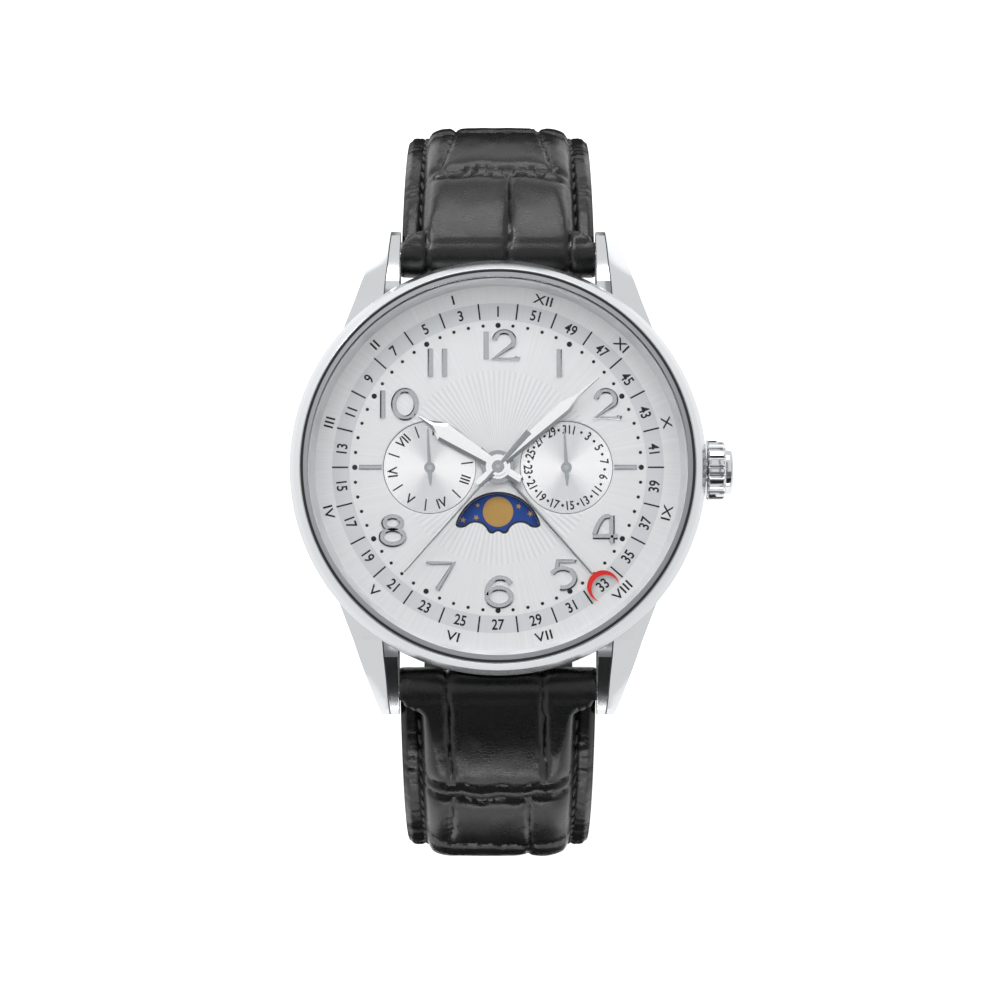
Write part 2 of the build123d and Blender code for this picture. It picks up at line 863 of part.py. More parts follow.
def rotor():
    """The rotor: a round magnet on a thin arbor."""
    magnet = disc(rotor_radius, rotor_bottom, rotor_bottom + rotor_height)
    arbor = disc(rotor_pivot_radius, bridge_bottom, plate_bottom + jewel_depth / 2)
    return Pos(rotor_x, rotor_y, 0) * (magnet + arbor)


def bridge_screws():
    """The two screws of the train bridge."""
    screws = []
    for side in (-1, 1):
        shank = disc(screw_shank_radius, bridge_bottom, bridge_bottom + screw_shank_length)
        head = disc(screw_head_radius, bridge_bottom - screw_head_height, bridge_bottom)
        screws.append(Pos(side * bridge_post_reach, bridge_shift, 0) * (shank + head))
    return Compound(children=screws)


def seconds_wheel():
    """The seconds arbor with the pinion that drives the third wheel."""
    module = 2 * train_distance / (seconds_pinion_teeth + third_wheel_teeth)
    pinion = toothed_wheel(
        seconds_pinion_teeth, module, seconds_pinion_bottom, seconds_pinion_height
    )
    turn = train_angle + 180 / seconds_pinion_teeth
    arbor = disc(seconds_arbor_radius, bridge_bottom, seconds_hand_top)
    return Rot(0, 0, -turn) * pinion + arbor


def third_wheel():
    """The third wheel and its pinion, on a thin arbor."""
    module = 2 * train_distance / (seconds_pinion_teeth + third_wheel_teeth)
    pinion_module = 2 * train_distance / (third_pinion_teeth + centre_wheel_teeth)
    wheel = toothed_wheel(third_wheel_teeth, module, third_wheel_bottom, wheel_thickness)
    rim = wheel_rim_share * module * third_wheel_teeth / 2
    wheel = spoked(wheel, third_wheel_bottom, wheel_thickness, rim, third_hub_radius)
    pinion_bottom = third_wheel_bottom + wheel_thickness
    pinion = toothed_wheel(third_pinion_teeth, pinion_module, pinion_bottom, third_pinion_height)
    pinion_turn = 180 / third_pinion_teeth
    arbor = disc(third_arbor_radius, bridge_bottom, plate_bottom + jewel_depth / 2)
    x, y = polar(train_distance, train_angle)
    return Pos(x, y, 0) * (wheel + Rot(0, 0, pinion_turn) * pinion + arbor)


def centre_wheel():
    """The centre wheel with the long cannon that carries the minute hand."""
    module = 2 * train_distance / (third_pinion_teeth + centre_wheel_teeth)
    wheel = toothed_wheel(centre_wheel_teeth, module, centre_wheel_bottom, wheel_thickness)
    rim = wheel_rim_share * module * centre_wheel_teeth / 2
    wheel = spoked(wheel, centre_wheel_bottom, wheel_thickness, rim, centre_hub_radius)
    turned_wheel = Rot(0, 0, -train_angle) * wheel
    cannon_module = 2 * motion_distance / (cannon_teeth + minute_wheel_teeth)
    pinion = toothed_wheel(
        cannon_teeth, cannon_module, cannon_pinion_bottom, cannon_pinion_height
    )
    tube = disc(cannon_outer, centre_wheel_bottom, minute_hand_top)
    body = turned_wheel + Rot(0, 0, -motion_angle) * pinion + tube
    return body - disc(cannon_inner, centre_wheel_bottom - overrun, minute_hand_top + overrun)


def minute_wheel():
    """The motion work's minute wheel and pinion, on the main plate's post."""
    module = 2 * motion_distance / (cannon_teeth + minute_wheel_teeth)
    hole = motion_post_radius + running_clearance
    wheel = toothed_wheel(minute_wheel_teeth, module, minute_wheel_bottom, wheel_thickness, hole)
    pinion_bottom = minute_wheel_bottom + wheel_thickness
    pinion = toothed_wheel(
        minute_pinion_teeth, module, pinion_bottom, minute_pinion_top - pinion_bottom, hole
    )
    wheel_turn = motion_angle + 180 + 180 / minute_wheel_teeth
    pinion_turn = motion_angle + 180
    x, y = polar(motion_distance, motion_angle)
    return Pos(x, y, 0) * (Rot(0, 0, -wheel_turn) * wheel + Rot(0, 0, -pinion_turn) * pinion)


def hour_wheel():
    """The hour wheel and the tube that carries the hour hand."""
    module = 2 * motion_distance / (minute_pinion_teeth + hour_wheel_teeth)
    turn = motion_angle + 180 / hour_wheel_teeth
    wheel = Rot(0, 0, -turn) * toothed_wheel(
        hour_wheel_teeth, module, hour_wheel_bottom, wheel_thickness
    )
    tube = disc(hour_outer, hour_wheel_bottom, hour_hand_top)
    return wheel + tube - disc(hour_inner, hour_wheel_bottom - overrun, hour_hand_top + overrun)


def week_wheel():
    """The week wheel and the tube that carries the week hand."""
    wheel = star_wheel(
        week_wheel_teeth, week_wheel_radius, calendar_wheel_bottom, calendar_wheel_thickness
    )
    tube = disc(week_outer, calendar_wheel_bottom, week_hand_top)
    return wheel + tube - disc(week_inner, calendar_wheel_bottom - overrun, week_hand_top + overrun)


def calendar_star(points, radius, side):
    """A day or date star with the arbor that carries its small hand."""
    star = star_wheel(points, radius, calendar_wheel_bottom, calendar_wheel_thickness)
    arbor = disc(small_arbor_radius, plate_bottom + jewel_depth, small_hand_top)
    return Pos(side * subdial_offset, 0, 0) * (star + arbor)


def moon_disc():
    """The toothed disc that carries the two moons under the dial."""
    top = moon_disc_bottom + moon_disc_thickness
    wheel = star_wheel(moon_disc_teeth, moon_disc_radius, moon_disc_bottom, moon_disc_thickness)
    arbor = disc(small_arbor_radius, plate_bottom + jewel_depth, top)
    return Pos(0, -subdial_offset, 0) * (wheel + arbor)


def moon_window():
    """The moon window's outline: a wide arch above two humps and the small one between them."""
    width = 2 * moon_window_radius
    window = Circle(moon_window_radius) - Circle(moon_boss_radius)
    window -= Pos(0, moon_notch_height - moon_window_radius) * Rectangle(width, width)
    for side in (-1, 1):
        window -= Pos(side * moon_hump_reach, 0) * Circle(moon_hump_radius)
        outside = side * (moon_hump_reach + moon_hump_radius)
        window -= Pos(outside, 0) * Rectangle(2 * moon_hump_radius, 2 * moon_lobe_height)
    lobes = window.vertices().filter_by(lambda corner: abs(corner.X) > moon_hump_reach)
    return fillet(lobes, moon_lobe_round)


def dial():
    """The dial with its sunk subdials, moon window and two feet."""
    plate = disc(dial_radius, dial_bottom, case_top, hole=week_outer + running_clearance)
    for side in (-1, 1):
        place = Pos(side * subdial_offset, 0, 0)
        plate -= place * disc(subdial_radius, case_top - subdial_depth, case_top + overrun)
        plate -= place * disc(small_hole_radius, dial_bottom - overrun, case_top + overrun)
    window = Pos(0, -subdial_offset, dial_bottom - overrun) * moon_window()
    plate -= extrude(window, amount=2 * overrun)
    for angle in dial_foot_angles:
        x, y = polar(dial_foot_ring_radius, angle)
        plate += Pos(x, y, 0) * disc(dial_foot_radius, plate_top - dial_foot_length / 2, dial_bottom)
    return plate


def hour_markers():
    """The two applied bars at 3 and 9, each with a roof-shaped top."""
    bars = []
    for angle in marker_angles:
        x, y = polar(marker_ring_radius, angle)
        base = block(marker_length, marker_width, case_top, case_top + marker_height, x, y)
        upper = base.edges().group_by(Axis.Z)[-1].filter_by(Axis.X)
        bars.append(chamfer(upper, marker_bevel))
    return Compound(children=bars)


def roofed(half_outline, bottom, thickness, half_width):
    """A hand cut from a bar with a ridge along its middle.

    half_outline lists (half width, distance from the axis) from the tail to the tip."""
    right = [(width, reach) for width, reach in half_outline]
    left = [(-width, reach) for width, reach in reversed(half_outline)]
    blank = extrude(Pos(0, 0, bottom) * make_face(Polyline(*right, *left, close=True)), amount=thickness)
    edge = bottom + hand_edge_share * thickness
    start = half_outline[0][1] - overrun
    end = half_outline[-1][1] + overrun
    ridge = Polyline(
        (-half_width, bottom),
        (half_width, bottom),
        (half_width, edge),
        (0, bottom + thickness),
        (-half_width, edge),
        close=True,
    )
    return blank & extrude(Plane.XZ.offset(-start) * make_face(ridge), amount=start - end)


def hour_hand():
    """The leaf-shaped hour hand."""
    leaf = (
        (hour_hand_tail_half_width / 2, -hour_hand_tail),
        (hour_hand_tail_half_width, -hour_hand_tail + hour_hand_tail_half_width),
        (hour_hand_neck_half_width, 0),
        (hour_hand_half_width, hour_hand_shoulder),
        (hour_hand_needle_half_width, hour_hand_needle_reach),
        (hour_hand_half_width * hand_tip_share, hour_hand_length),
    )
    hand = roofed(leaf, hour_hand_bottom, hour_hand_thickness, hour_hand_half_width)
    hand += disc(hour_outer + hub_wall, hour_hand_bottom, hour_hand_top)
    hand -= disc(hour_outer, hour_hand_bottom - overrun, hour_hand_top + overrun)
    return Rot(0, 0, -hour_hand_turn) * hand


def minute_hand():
    """The leaf-shaped minute hand."""
    leaf = (
        (minute_hand_tail_half_width / 2, -minute_hand_tail),
        (minute_hand_tail_half_width, -minute_hand_tail + minute_hand_tail_half_width),
        (minute_hand_neck_half_width, 0),
        (minute_hand_half_width, minute_hand_shoulder),
        (minute_hand_needle_half_width, minute_hand_needle_reach),
        (minute_hand_half_width * hand_tip_share, minute_hand_length),
    )
    hand = roofed(leaf, minute_hand_bottom, minute_hand_thickness, minute_hand_half_width)
    hand += disc(cannon_outer + hub_wall, minute_hand_bottom, minute_hand_top)
    hand -= disc(cannon_outer, minute_hand_bottom - overrun, minute_hand_top + overrun)
    return Rot(0, 0, -minute_hand_turn) * hand


def seconds_hand():
    """The needle-shaped seconds hand with its broad counterweight."""
    needle = (
        (seconds_hand_tail_half_width, -seconds_hand_tail),
        (seconds_hand_tail_half_width * 3 / 4, -seconds_hand_tail / 3),
        (seconds_hand_half_width, 0),
        (seconds_hand_tip_half_width, seconds_hand_length),
    )
    hand = roofed(needle, seconds_hand_bottom, seconds_hand_thickness, seconds_hand_tail_half_width)
    hand += disc(seconds_arbor_radius + hub_wall, seconds_hand_bottom, seconds_hand_top)
    hand -= disc(seconds_arbor_radius, seconds_hand_bottom - overrun, seconds_hand_top + overrun)
    return Rot(0, 0, -seconds_hand_turn) * hand


def crescent_disc(radius, shift=0):
    """A disc about the middle of the week hand's crescent, moved outwards by shift."""
    return Pos(0, crescent_centre + shift, 0) * disc(radius, week_hand_bottom, week_hand_top)


def week_hand():
    """The thin week hand with its wide hub, up to the crescent."""
    end = crescent_centre - crescent_radius / 2
    needle = (
        (week_hand_half_width, -week_hand_tail),
        (week_hand_half_width, 0),
        (week_hand_tip_half_width, end),
    )
    hand = roofed(needle, week_hand_bottom, week_hand_thickness, week_hand_half_width)
    hand += disc(week_hand_hub_radius, week_hand_bottom, week_hand_top)
    hand -= disc(week_outer, week_hand_bottom - overrun, week_hand_top + overrun)
    hand -= crescent_disc(crescent_radius)
    return Rot(0, 0, -week_hand_turn) * hand


def week_hand_tip():
    """The crescent at the tip of the week hand, open outwards."""
    crescent = crescent_disc(crescent_radius) - crescent_disc(crescent_inner_radius, crescent_shift)
    return Rot(0, 0, -week_hand_turn) * crescent


def small_hand(side):
    """A subdial's hand on its calendar star's arbor."""
    needle = (
        (small_hand_tip_half_width, -small_hand_tail),
        (small_hand_half_width, -small_hand_tail / 2),
        (small_hand_half_width, 0),
        (small_hand_tip_half_width, small_hand_length),
    )
    hand = roofed(needle, small_hand_bottom, small_hand_thickness, small_hand_half_width)
    hand += disc(small_hand_hub_radius, small_hand_bottom, small_hand_top)
    hand -= disc(small_arbor_radius, small_hand_bottom - overrun, small_hand_top + overrun)
    return Pos(side * subdial_offset, 0, 0) * Rot(0, 0, -small_hand_turn) * hand


def strap_stations(bends, run):
    """Stations on the strap's inner face: distance along it, reach along Y, height and heading."""
    reach, height = bar_reach, bar_height - strap_nose_radius
    heading, distance = strap_start_angle, 0
    stations = [(distance, reach, height, heading)]
    for radius, turn in ((wrist_radius, wrist_turn),) + bends:
        steps = max(2, round(abs(turn) / bend_step))
        for _ in range(steps):
            middle = heading - turn / steps / 2
            chord = 2 * radius * sin(radians(abs(turn) / steps / 2))
            reach += chord * cos(radians(middle))
            height += chord * sin(radians(middle))
            heading -= turn / steps
            distance += radius * radians(abs(turn) / steps)
            stations.append((distance, reach, height, heading))
    reach += run * cos(radians(heading))
    height += run * sin(radians(heading))
    stations.append((distance + run, reach, height, heading))
    return stations


def strap_half_width(distance):
    """Half the strap's width, tapering from the lugs."""
    start = lug_inner - strap_side_gap
    share = min(1, distance / strap_taper_length)
    return start + (strap_end_width / 2 - start) * share


def strap_thickness(distance):
    """The thickness over the strap's middle: the padding fades away from the lugs."""
    share = min(1, distance / strap_pad_end)
    fade = (1 + cos(radians(180 * share))) / 2
    return strap_flat_thickness + (2 * strap_nose_radius - strap_flat_thickness) * fade


def leather_loft(stations):
    """The crowned leather above the lining."""
    sections = []
    for distance, reach, height, heading in stations:
        half = strap_half_width(distance)
        outline = Polyline(
            (-half, strap_edge_thickness),
            (-half, lining_thickness),
            (half, lining_thickness),
            (half, strap_edge_thickness),
        ) + ThreePointArc(
            (half, strap_edge_thickness),
            (0, strap_thickness(distance)),
            (-half, strap_edge_thickness),
        )
        sections.append(Pos(0, reach, height) * Rot(heading, 0, 0) * (Plane.XZ * make_face(outline)))
    return loft(sections, ruled=True)


def lining_loft(stations):
    """The thin lining along the inner face."""
    sections = []
    for distance, reach, height, heading in stations:
        half = strap_half_width(distance)
        outline = Pos(0, lining_thickness / 2) * Rectangle(2 * half, lining_thickness)
        sections.append(Pos(0, reach, height) * Rot(heading, 0, 0) * (Plane.XZ * outline))
    return loft(sections, ruled=True)


def round_end(place, radius, half, level, side):
    """Half a round bar across the strap, on one side of the plane at place."""
    bar = bar_along_x(radius, -half, half, *level)
    reach = 2 * radius
    return place * (
        bar - block(2 * half + 2 * overrun, 2 * reach, -reach, 2 * reach, y=-side * reach)
    )


def strap_half(bends, run):
    """Leather and lining of one half, before its far end is finished."""
    stations = strap_stations(bends, run)
    half = strap_half_width(0)
    _, reach, height, heading = stations[0]
    behind = strap_nose_radius * sin(radians(heading))
    above = strap_nose_radius * cos(radians(heading))
    place = Pos(0, reach, height) * Rot(heading, 0, 0)
    leather = leather_loft(stations)
    leather += round_end(place, strap_nose_radius, half, (behind, above), -1)
    leather -= bar_along_x(
        strap_bore_radius, -half - overrun, half + overrun, bar_reach, bar_height
    )
    return leather, lining_loft(stations), stations


def end_place(stations):
    """The frame at a half's far end: X across, Y onwards along the strap, Z to its outer face."""
    _, reach, height, heading = stations[-1]
    return Pos(0, reach, height) * Rot(heading, 0, 0)


def upper_strap():
    """The short half: its leather and lining, made round the buckle's bar."""
    leather, lining, stations = strap_half(upper_bends, upper_run)
    place = end_place(stations)
    half = strap_end_width / 2
    bar_level = strap_flat_thickness / 2
    leather += round_end(place, bar_level, half, (0, bar_level), 1)
    leather -= place * bar_along_x(
        buckle_bore_radius, -half - overrun, half + overrun, 0, bar_level
    )
    slot = place * block(
        tang_width + 2 * tang_slot_gap,
        2 * (tang_loop_radius + tang_slot_reach),
        -overrun,
        strap_flat_thickness + overrun,
    )
    return leather - slot, lining - slot, stations


def tail_cut(place):
    """What is cut away beside the tail's pointed tip."""
    half = strap_end_width / 2
    radius = (tail_point_length**2 + half**2) / (2 * half)
    arch = Pos(radius - half, 0) * Circle(radius) & Pos(half - radius, 0) * Circle(radius)
    corner = Pos(0, tail_point_length / 2 + overrun) * Rectangle(
        strap_end_width + 2 * overrun, tail_point_length + 2 * overrun
    )
    plan = Pos(0, -tail_point_length) * (corner - arch)
    return place * extrude(Pos(0, 0, -overrun) * plan, amount=strap_flat_thickness + 2 * overrun)


def lower_strap():
    """The long half: its leather and lining, with a pointed tail and a row of holes."""
    leather, lining, stations = strap_half(lower_bends, lower_run)
    place = end_place(stations)
    cut = tail_cut(place)
    for hole in range(hole_count):
        setback = hole_setback + hole * hole_spacing
        cut += place * Pos(0, -setback, 0) * disc(
            hole_radius, -overrun, strap_flat_thickness + overrun
        )
    return mirror(leather - cut, about=Plane.XZ), mirror(lining - cut, about=Plane.XZ)


def keeper(side_gap, layer_gap, setback):
    """A leather loop round the strap, with room under it for the tail."""
    inner_width = strap_end_width + 2 * side_gap
    inner_height = keeper_room_share * strap_flat_thickness + keeper_layer_gap + layer_gap
    middle = inner_height / 2 - layer_gap
    outer = RectangleRounded(
        inner_width + 2 * keeper_thickness, inner_height + 2 * keeper_thickness, keeper_thickness
    )
    loop = Pos(0, middle) * (outer - Rectangle(inner_width, inner_height))
    return extrude(Plane.XZ.offset(setback) * loop, amount=keeper_width)


def buckle_place(stations):
    """The frame at the buckle's bar: X along it, Y onwards from the strap, Z to the outer face."""
    return end_place(stations) * Pos(0, 0, strap_flat_thickness / 2)


def buckle_frame():
    """The buckle's bow: two arms with ears, a rounded front bar and a notch for the tang."""
    inner_half = strap_end_width / 2 + buckle_side_gap
    outer_half = inner_half + buckle_arm_width
    front = buckle_reach + buckle_front_width / 2
    opening = buckle_reach - buckle_front_width / 2
    bow = RectangleRounded(2 * outer_half, 2 * front, buckle_corner_radius)
    bow -= Rectangle(2 * inner_half, 2 * opening)
    body = extrude(Pos(0, 0, -buckle_thickness / 2) * bow, amount=buckle_thickness)
    body = chamfer(body.edges().group_by(Axis.Z)[-1], buckle_edge_bevel)
    body -= block(
        2 * outer_half + overrun, front + overrun, -buckle_thickness, buckle_thickness,
        y=-(front + overrun) / 2,
    )
    for side in (-1, 1):
        start = side * (inner_half + buckle_arm_width / 2) - buckle_arm_width / 2
        body += bar_along_x(buckle_ear_radius, start, start + buckle_arm_width)
    body -= bar_along_x(buckle_pivot_radius, -outer_half - overrun, outer_half + overrun)
    notch_floor = buckle_thickness / 2 - tang_notch_depth
    body -= block(
        tang_width + tang_slot_gap,
        buckle_front_width + 2 * overrun,
        notch_floor,
        notch_floor + overrun,
        y=buckle_reach,
    )
    return body


def buckle_spring_bar():
    """The bar that joins the buckle to the strap."""
    half = strap_end_width / 2
    reach = half + buckle_side_gap + buckle_arm_width
    return bar_along_x(buckle_bar_radius, -half, half) + bar_along_x(buckle_pivot_radius, -reach, reach)


def buckle_tang():
    """The tang: a loop on the bar and a flat pin that rests in the front bar's notch."""
    half = tang_width / 2
    floor = buckle_thickness / 2 - tang_notch_depth + running_clearance
    tip = buckle_reach + buckle_front_width / 2 + tang_overhang
    pin = block(tang_width, tip, floor, floor + tang_thickness, y=tip / 2)
    pin = chamfer(pin.edges().group_by(Axis.Y)[-1], tang_tip_bevel)
    tang = bar_along_x(tang_loop_radius, -half, half) + pin
    return tang - bar_along_x(buckle_bore_radius, -half - overrun, half + overrun)


nodes["mid_case"] = mid_case()
nodes["bezel"] = bezel()
nodes["crystal"] = crystal()
nodes["crystal_gasket"] = disc(
    gasket_radius, crystal_seat, crystal_seat + gasket_height, hole=crystal_radius
)
nodes["dial_flange"] = dial_flange()
nodes["case_back"] = case_back()
nodes["case_back_gasket"] = disc(
    back_groove_outer_radius, case_seat, case_seat + back_groove_depth, hole=back_groove_inner_radius
)
nodes["upper_spring_bar"] = spring_bar(1)
nodes["lower_spring_bar"] = spring_bar(-1)
nodes["crown_tube"] = crown_tube()
nodes["crown"] = crown()
nodes["crown_gasket"] = crown_gasket()
nodes["stem"] = stem()
nodes["clutch_pinion"] = clutch_pinion()
nodes["movement_holder"] = movement_holder()
nodes["main_plate"] = main_plate()
nodes["calendar_plate"] = calendar_plate()
nodes["train_bridge"] = train_bridge()
nodes["bridge_screws"] = bridge_screws()
nodes["battery"] = battery()
nodes["battery_clip"] = battery_clip()
nodes["circuit_board"] = circuit_board()
nodes["quartz_can"] = quartz_can()
nodes["stator"] = stator()
nodes["coil"] = coil()
nodes["rotor"] = rotor()
nodes["seconds_wheel"] = seconds_wheel()
nodes["third_wheel"] = third_wheel()
nodes["centre_wheel"] = centre_wheel()
nodes["minute_wheel"] = minute_wheel()
nodes["hour_wheel"] = hour_wheel()
nodes["week_wheel"] = week_wheel()
nodes["day_star"] = calendar_star(day_star_points, day_star_radius, -1)
nodes["date_star"] = calendar_star(date_star_points, date_star_radius, 1)
nodes["moon_disc"] = moon_disc()
nodes["dial"] = dial()
nodes["hour_markers"] = hour_markers()
nodes["hour_hand"] = hour_hand()
nodes["minute_hand"] = minute_hand()
nodes["seconds_hand"] = seconds_hand()
nodes["week_hand"] = week_hand()
nodes["week_hand_tip"] = week_hand_tip()
nodes["day_hand"] = small_hand(-1)
nodes["date_hand"] = small_hand(1)

upper_leather, upper_lining, upper_stations = upper_strap()
lower_leather, lower_lining = lower_strap()
keeper_place = end_place(upper_stations)
loose_setback = fixed_keeper_setback + keeper_width + loose_keeper_gap
nodes["upper_strap"] = upper_leather
nodes["upper_lining"] = upper_lining
nodes["lower_strap"] = lower_leather
nodes["lower_lining"] = lower_lining
nodes["fixed_keeper"] = keeper_place * keeper(0, 0, fixed_keeper_setback)
nodes["loose_keeper"] = keeper_place * keeper(keeper_side_gap, keeper_layer_gap, loose_setback)
nodes["buckle_frame"] = buckle_place(upper_stations) * buckle_frame()
nodes["buckle_tang"] = buckle_place(upper_stations) * buckle_tang()
nodes["buckle_spring_bar"] = buckle_place(upper_stations) * buckle_spring_bar()

os.makedirs("parts", exist_ok=True)
for name, piece in nodes.items():
    export_step(piece, f"parts/{name}.step")
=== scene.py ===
from math import atan2, ceil, cos, degrees, exp, hypot, pi, radians, sin, sqrt

import bmesh
import bpy
from mathutils import Matrix, Vector, noise


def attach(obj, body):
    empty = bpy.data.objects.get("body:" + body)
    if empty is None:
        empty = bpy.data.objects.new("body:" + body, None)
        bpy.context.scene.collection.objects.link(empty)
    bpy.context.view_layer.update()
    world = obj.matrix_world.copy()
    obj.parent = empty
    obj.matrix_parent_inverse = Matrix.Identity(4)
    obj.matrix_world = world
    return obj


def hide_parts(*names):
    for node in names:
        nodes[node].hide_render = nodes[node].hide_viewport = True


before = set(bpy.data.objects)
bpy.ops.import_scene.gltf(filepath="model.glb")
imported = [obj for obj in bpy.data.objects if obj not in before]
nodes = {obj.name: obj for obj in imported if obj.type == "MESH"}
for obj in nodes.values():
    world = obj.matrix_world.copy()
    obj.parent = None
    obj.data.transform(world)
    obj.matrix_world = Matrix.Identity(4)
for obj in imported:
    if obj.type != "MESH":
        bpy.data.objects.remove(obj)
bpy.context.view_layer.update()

# Moon phase watch with a padded leather strap.
# The frame is in metres: +Z out of the dial, +Y to 12 o'clock, +X to the crown.
mm = 0.001

# Driving sizes in millimetres, as the construction has them
dial_top = 6.5
dial_bottom = 6.1
dial_radius = 18.7
crystal_radius = 19.5
crystal_seat = 8.0
crystal_top = 9.6
bezel_radius = 21.0
case_radius = 20.8
case_top = 6.5
case_seat = 0.9
gasket_outer = 19.75
subdial_offset = 6.9
subdial_radius = 4.75
subdial_depth = 0.14
moon_disc_top = 5.94
lug_inner = 10.05
bar_reach = 22.3
bar_height = 2.6
nose_radius = 2.3
print_height = 0.012            # ink stands this far proud of the dial
crown_height = 3.9              # of the crown's axis
crown_radius = 3.1
at_axis = 0.0001                # outlines of full discs start this close to their axis


def light(hex_colour):
    """An sRGB hex colour as the linear colour that a shader takes."""
    channels = [int(hex_colour[i:i + 2], 16) / 255 for i in (0, 2, 4)]
    linear = [c / 12.92 if c <= 0.04045 else ((c + 0.055) / 1.055) ** 2.4 for c in channels]
    return (*linear, 1)


def add(tree, kind, links=(), **settings):
    """Adds a shader node: settings name sockets or properties, links name (socket, source)."""
    node = tree.nodes.new(kind)
    for name, value in settings.items():
        if hasattr(node, name):
            setattr(node, name, value)
        else:
            node.inputs[name.replace("_", " ")].default_value = value
    for socket, source in links:
        tree.links.new(source, node.inputs[socket])
    return node


def polar(radius, angle):
    """The point at a radius, at an angle clockwise from 12 o'clock."""
    return radius * sin(radians(angle)), radius * cos(radians(angle))


def finish_piece(bm, name, material, body, replaced=(), crease=30, smooth=True):
    """Makes an object of a mesh in millimetres, with its material and its body."""
    bmesh.ops.scale(bm, vec=Vector((mm, mm, mm)), verts=bm.verts)
    mesh = bpy.data.meshes.new(name)
    bm.to_mesh(mesh)
    bm.free()
    if smooth:
        mesh.polygons.foreach_set("use_smooth", [True] * len(mesh.polygons))
        mesh.set_sharp_from_angle(angle=radians(crease))
    piece = bpy.data.objects.new(name, mesh)
    bpy.context.scene.collection.objects.link(piece)
    mesh.materials.append(material)
    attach(piece, body)
    if replaced:
        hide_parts(*replaced)
    return piece


def spun(profile, steps, centre=(0, 0)):
    """A closed ring turned about a vertical axis from a closed outline of radius and height."""
    bm = bmesh.new()
    outline = [bm.verts.new((r, 0, z)) for r, z in profile]
    edges = [bm.edges.new((a, b)) for a, b in zip(outline, outline[1:] + outline[:1])]
    bmesh.ops.spin(
        bm, geom=outline + edges, cent=(0, 0, 0), axis=(0, 0, 1), angle=2 * pi,
        steps=steps, use_merge=True,
    )
    bmesh.ops.remove_doubles(bm, verts=bm.verts, dist=1e-5)
    bmesh.ops.recalc_face_normals(bm, faces=bm.faces)
    bmesh.ops.translate(bm, vec=(centre[0], centre[1], 0), verts=bm.verts)
    return bm


def rounded(profile, radius, segments=3):
    """The outline with each corner given a small round of that radius."""
    result = []
    count = len(profile)
    for i, point in enumerate(profile):
        before = Vector(profile[i - 1]) - Vector(point)
        after = Vector(profile[(i + 1) % count]) - Vector(point)
        reach = min(radius, before.length * 0.45, after.length * 0.45)
        start = Vector(point) + before.normalized() * reach
        end = Vector(point) + after.normalized() * reach
        for step in range(segments + 1):
            t = step / segments
            curve = (1 - t) ** 2 * start + 2 * t * (1 - t) * Vector(point) + t * t * end
            result.append(tuple(curve))
    return result


def joined(meshes):
    """Several bmeshes as one."""
    whole = bmesh.new()
    for part in meshes:
        mesh = bpy.data.meshes.new("part")
        part.to_mesh(mesh)
        part.free()
        whole.from_mesh(mesh)
        bpy.data.meshes.remove(mesh)
    return whole


def metal(name, colour, roughness, grain=0.0, grain_width=0.05, squeeze=(1, 1, 1), rough_spread=0.04):
    """A polished or brushed metal with slight unevenness.

    grain_width is in real millimetres: up to 0.1 it draws the tool's fine lines, and wider
    it stands for the soft waves of a polish, whose own lines are too fine to be seen.
    """
    material = bpy.data.materials.new(name)
    material.use_nodes = True
    tree = material.node_tree
    shader = tree.nodes["Principled BSDF"]
    shader.inputs["Metallic"].default_value = 1
    place = add(tree, "ShaderNodeTexCoord")
    stretch = add(tree, "ShaderNodeMapping", [("Vector", place.outputs["Object"])], Scale=squeeze)
    lines = add(
        tree, "ShaderNodeTexNoise", [("Vector", stretch.outputs[0])],
        Scale=1 / (grain_width * mm), Detail=3, Roughness=0.6,
    )
    spread = add(
        tree, "ShaderNodeMapRange", [("Value", lines.outputs["Fac"])],
        To_Min=max(0.01, roughness - rough_spread), To_Max=roughness + rough_spread,
    )
    tree.links.new(spread.outputs[0], shader.inputs["Roughness"])
    tint = add(tree, "ShaderNodeMix", [("Factor", lines.outputs["Fac"])], data_type="RGBA")
    base = light(colour)
    tint.inputs[6].default_value = (*[c * 0.97 for c in base[:3]], 1)
    tint.inputs[7].default_value = base
    tree.links.new(tint.outputs[2], shader.inputs["Base Color"])
    if grain:
        bump = add(
            tree, "ShaderNodeBump", [("Height", lines.outputs["Fac"])],
            Strength=grain, Distance=0.01 * mm,
        )
        tree.links.new(bump.outputs[0], shader.inputs["Normal"])
    return material


# Stainless steel, mirror polished on a felt wheel: crisp reflections with a trace of haze
polished_steel = metal("polished_steel", "CFD1D3", 0.1, rough_spread=0.02, grain_width=0.4)
# Bezel: stainless steel, drawn round with a fine pad, so it shows soft and a shade darker than the lugs
bezel_steel = metal("brushed_bezel", "BABCBE", 0.2, rough_spread=0.03, grain_width=0.3)
# Bevel along the ridge of each lug, brushed and painted dark: a painted dark reflection, which shows as
# a thin dark line
ridge_painted_reflection = metal("painted_dark_ridge", "4A4D51", 0.35, grain_width=0.1)
# Stainless steel, satin finished with a fine pad: soft broad reflections
satin_steel = metal("satin_steel", "C8CACC", 0.28, grain=0.25, grain_width=0.06)
# Turned steel pins, tubes and screws: fine lines from the tool and a soft shine
turned_steel = metal("turned_steel", "B4B8BD", 0.25, grain=0.3, grain_width=0.08, squeeze=(0.2, 1, 1))
# Gilt brass of the train and plates: warm gold with a fine grain
gilt_brass = metal("gilt_brass", "CDB877", 0.3, grain=0.3, grain_width=0.1)
# Enamelled copper wire of the coil, wound in close turns: a reddish shine with ribs
wound_copper = metal("wound_copper", "B5683A", 0.35, grain=0.8, grain_width=0.08, squeeze=(1, 0.2, 1))


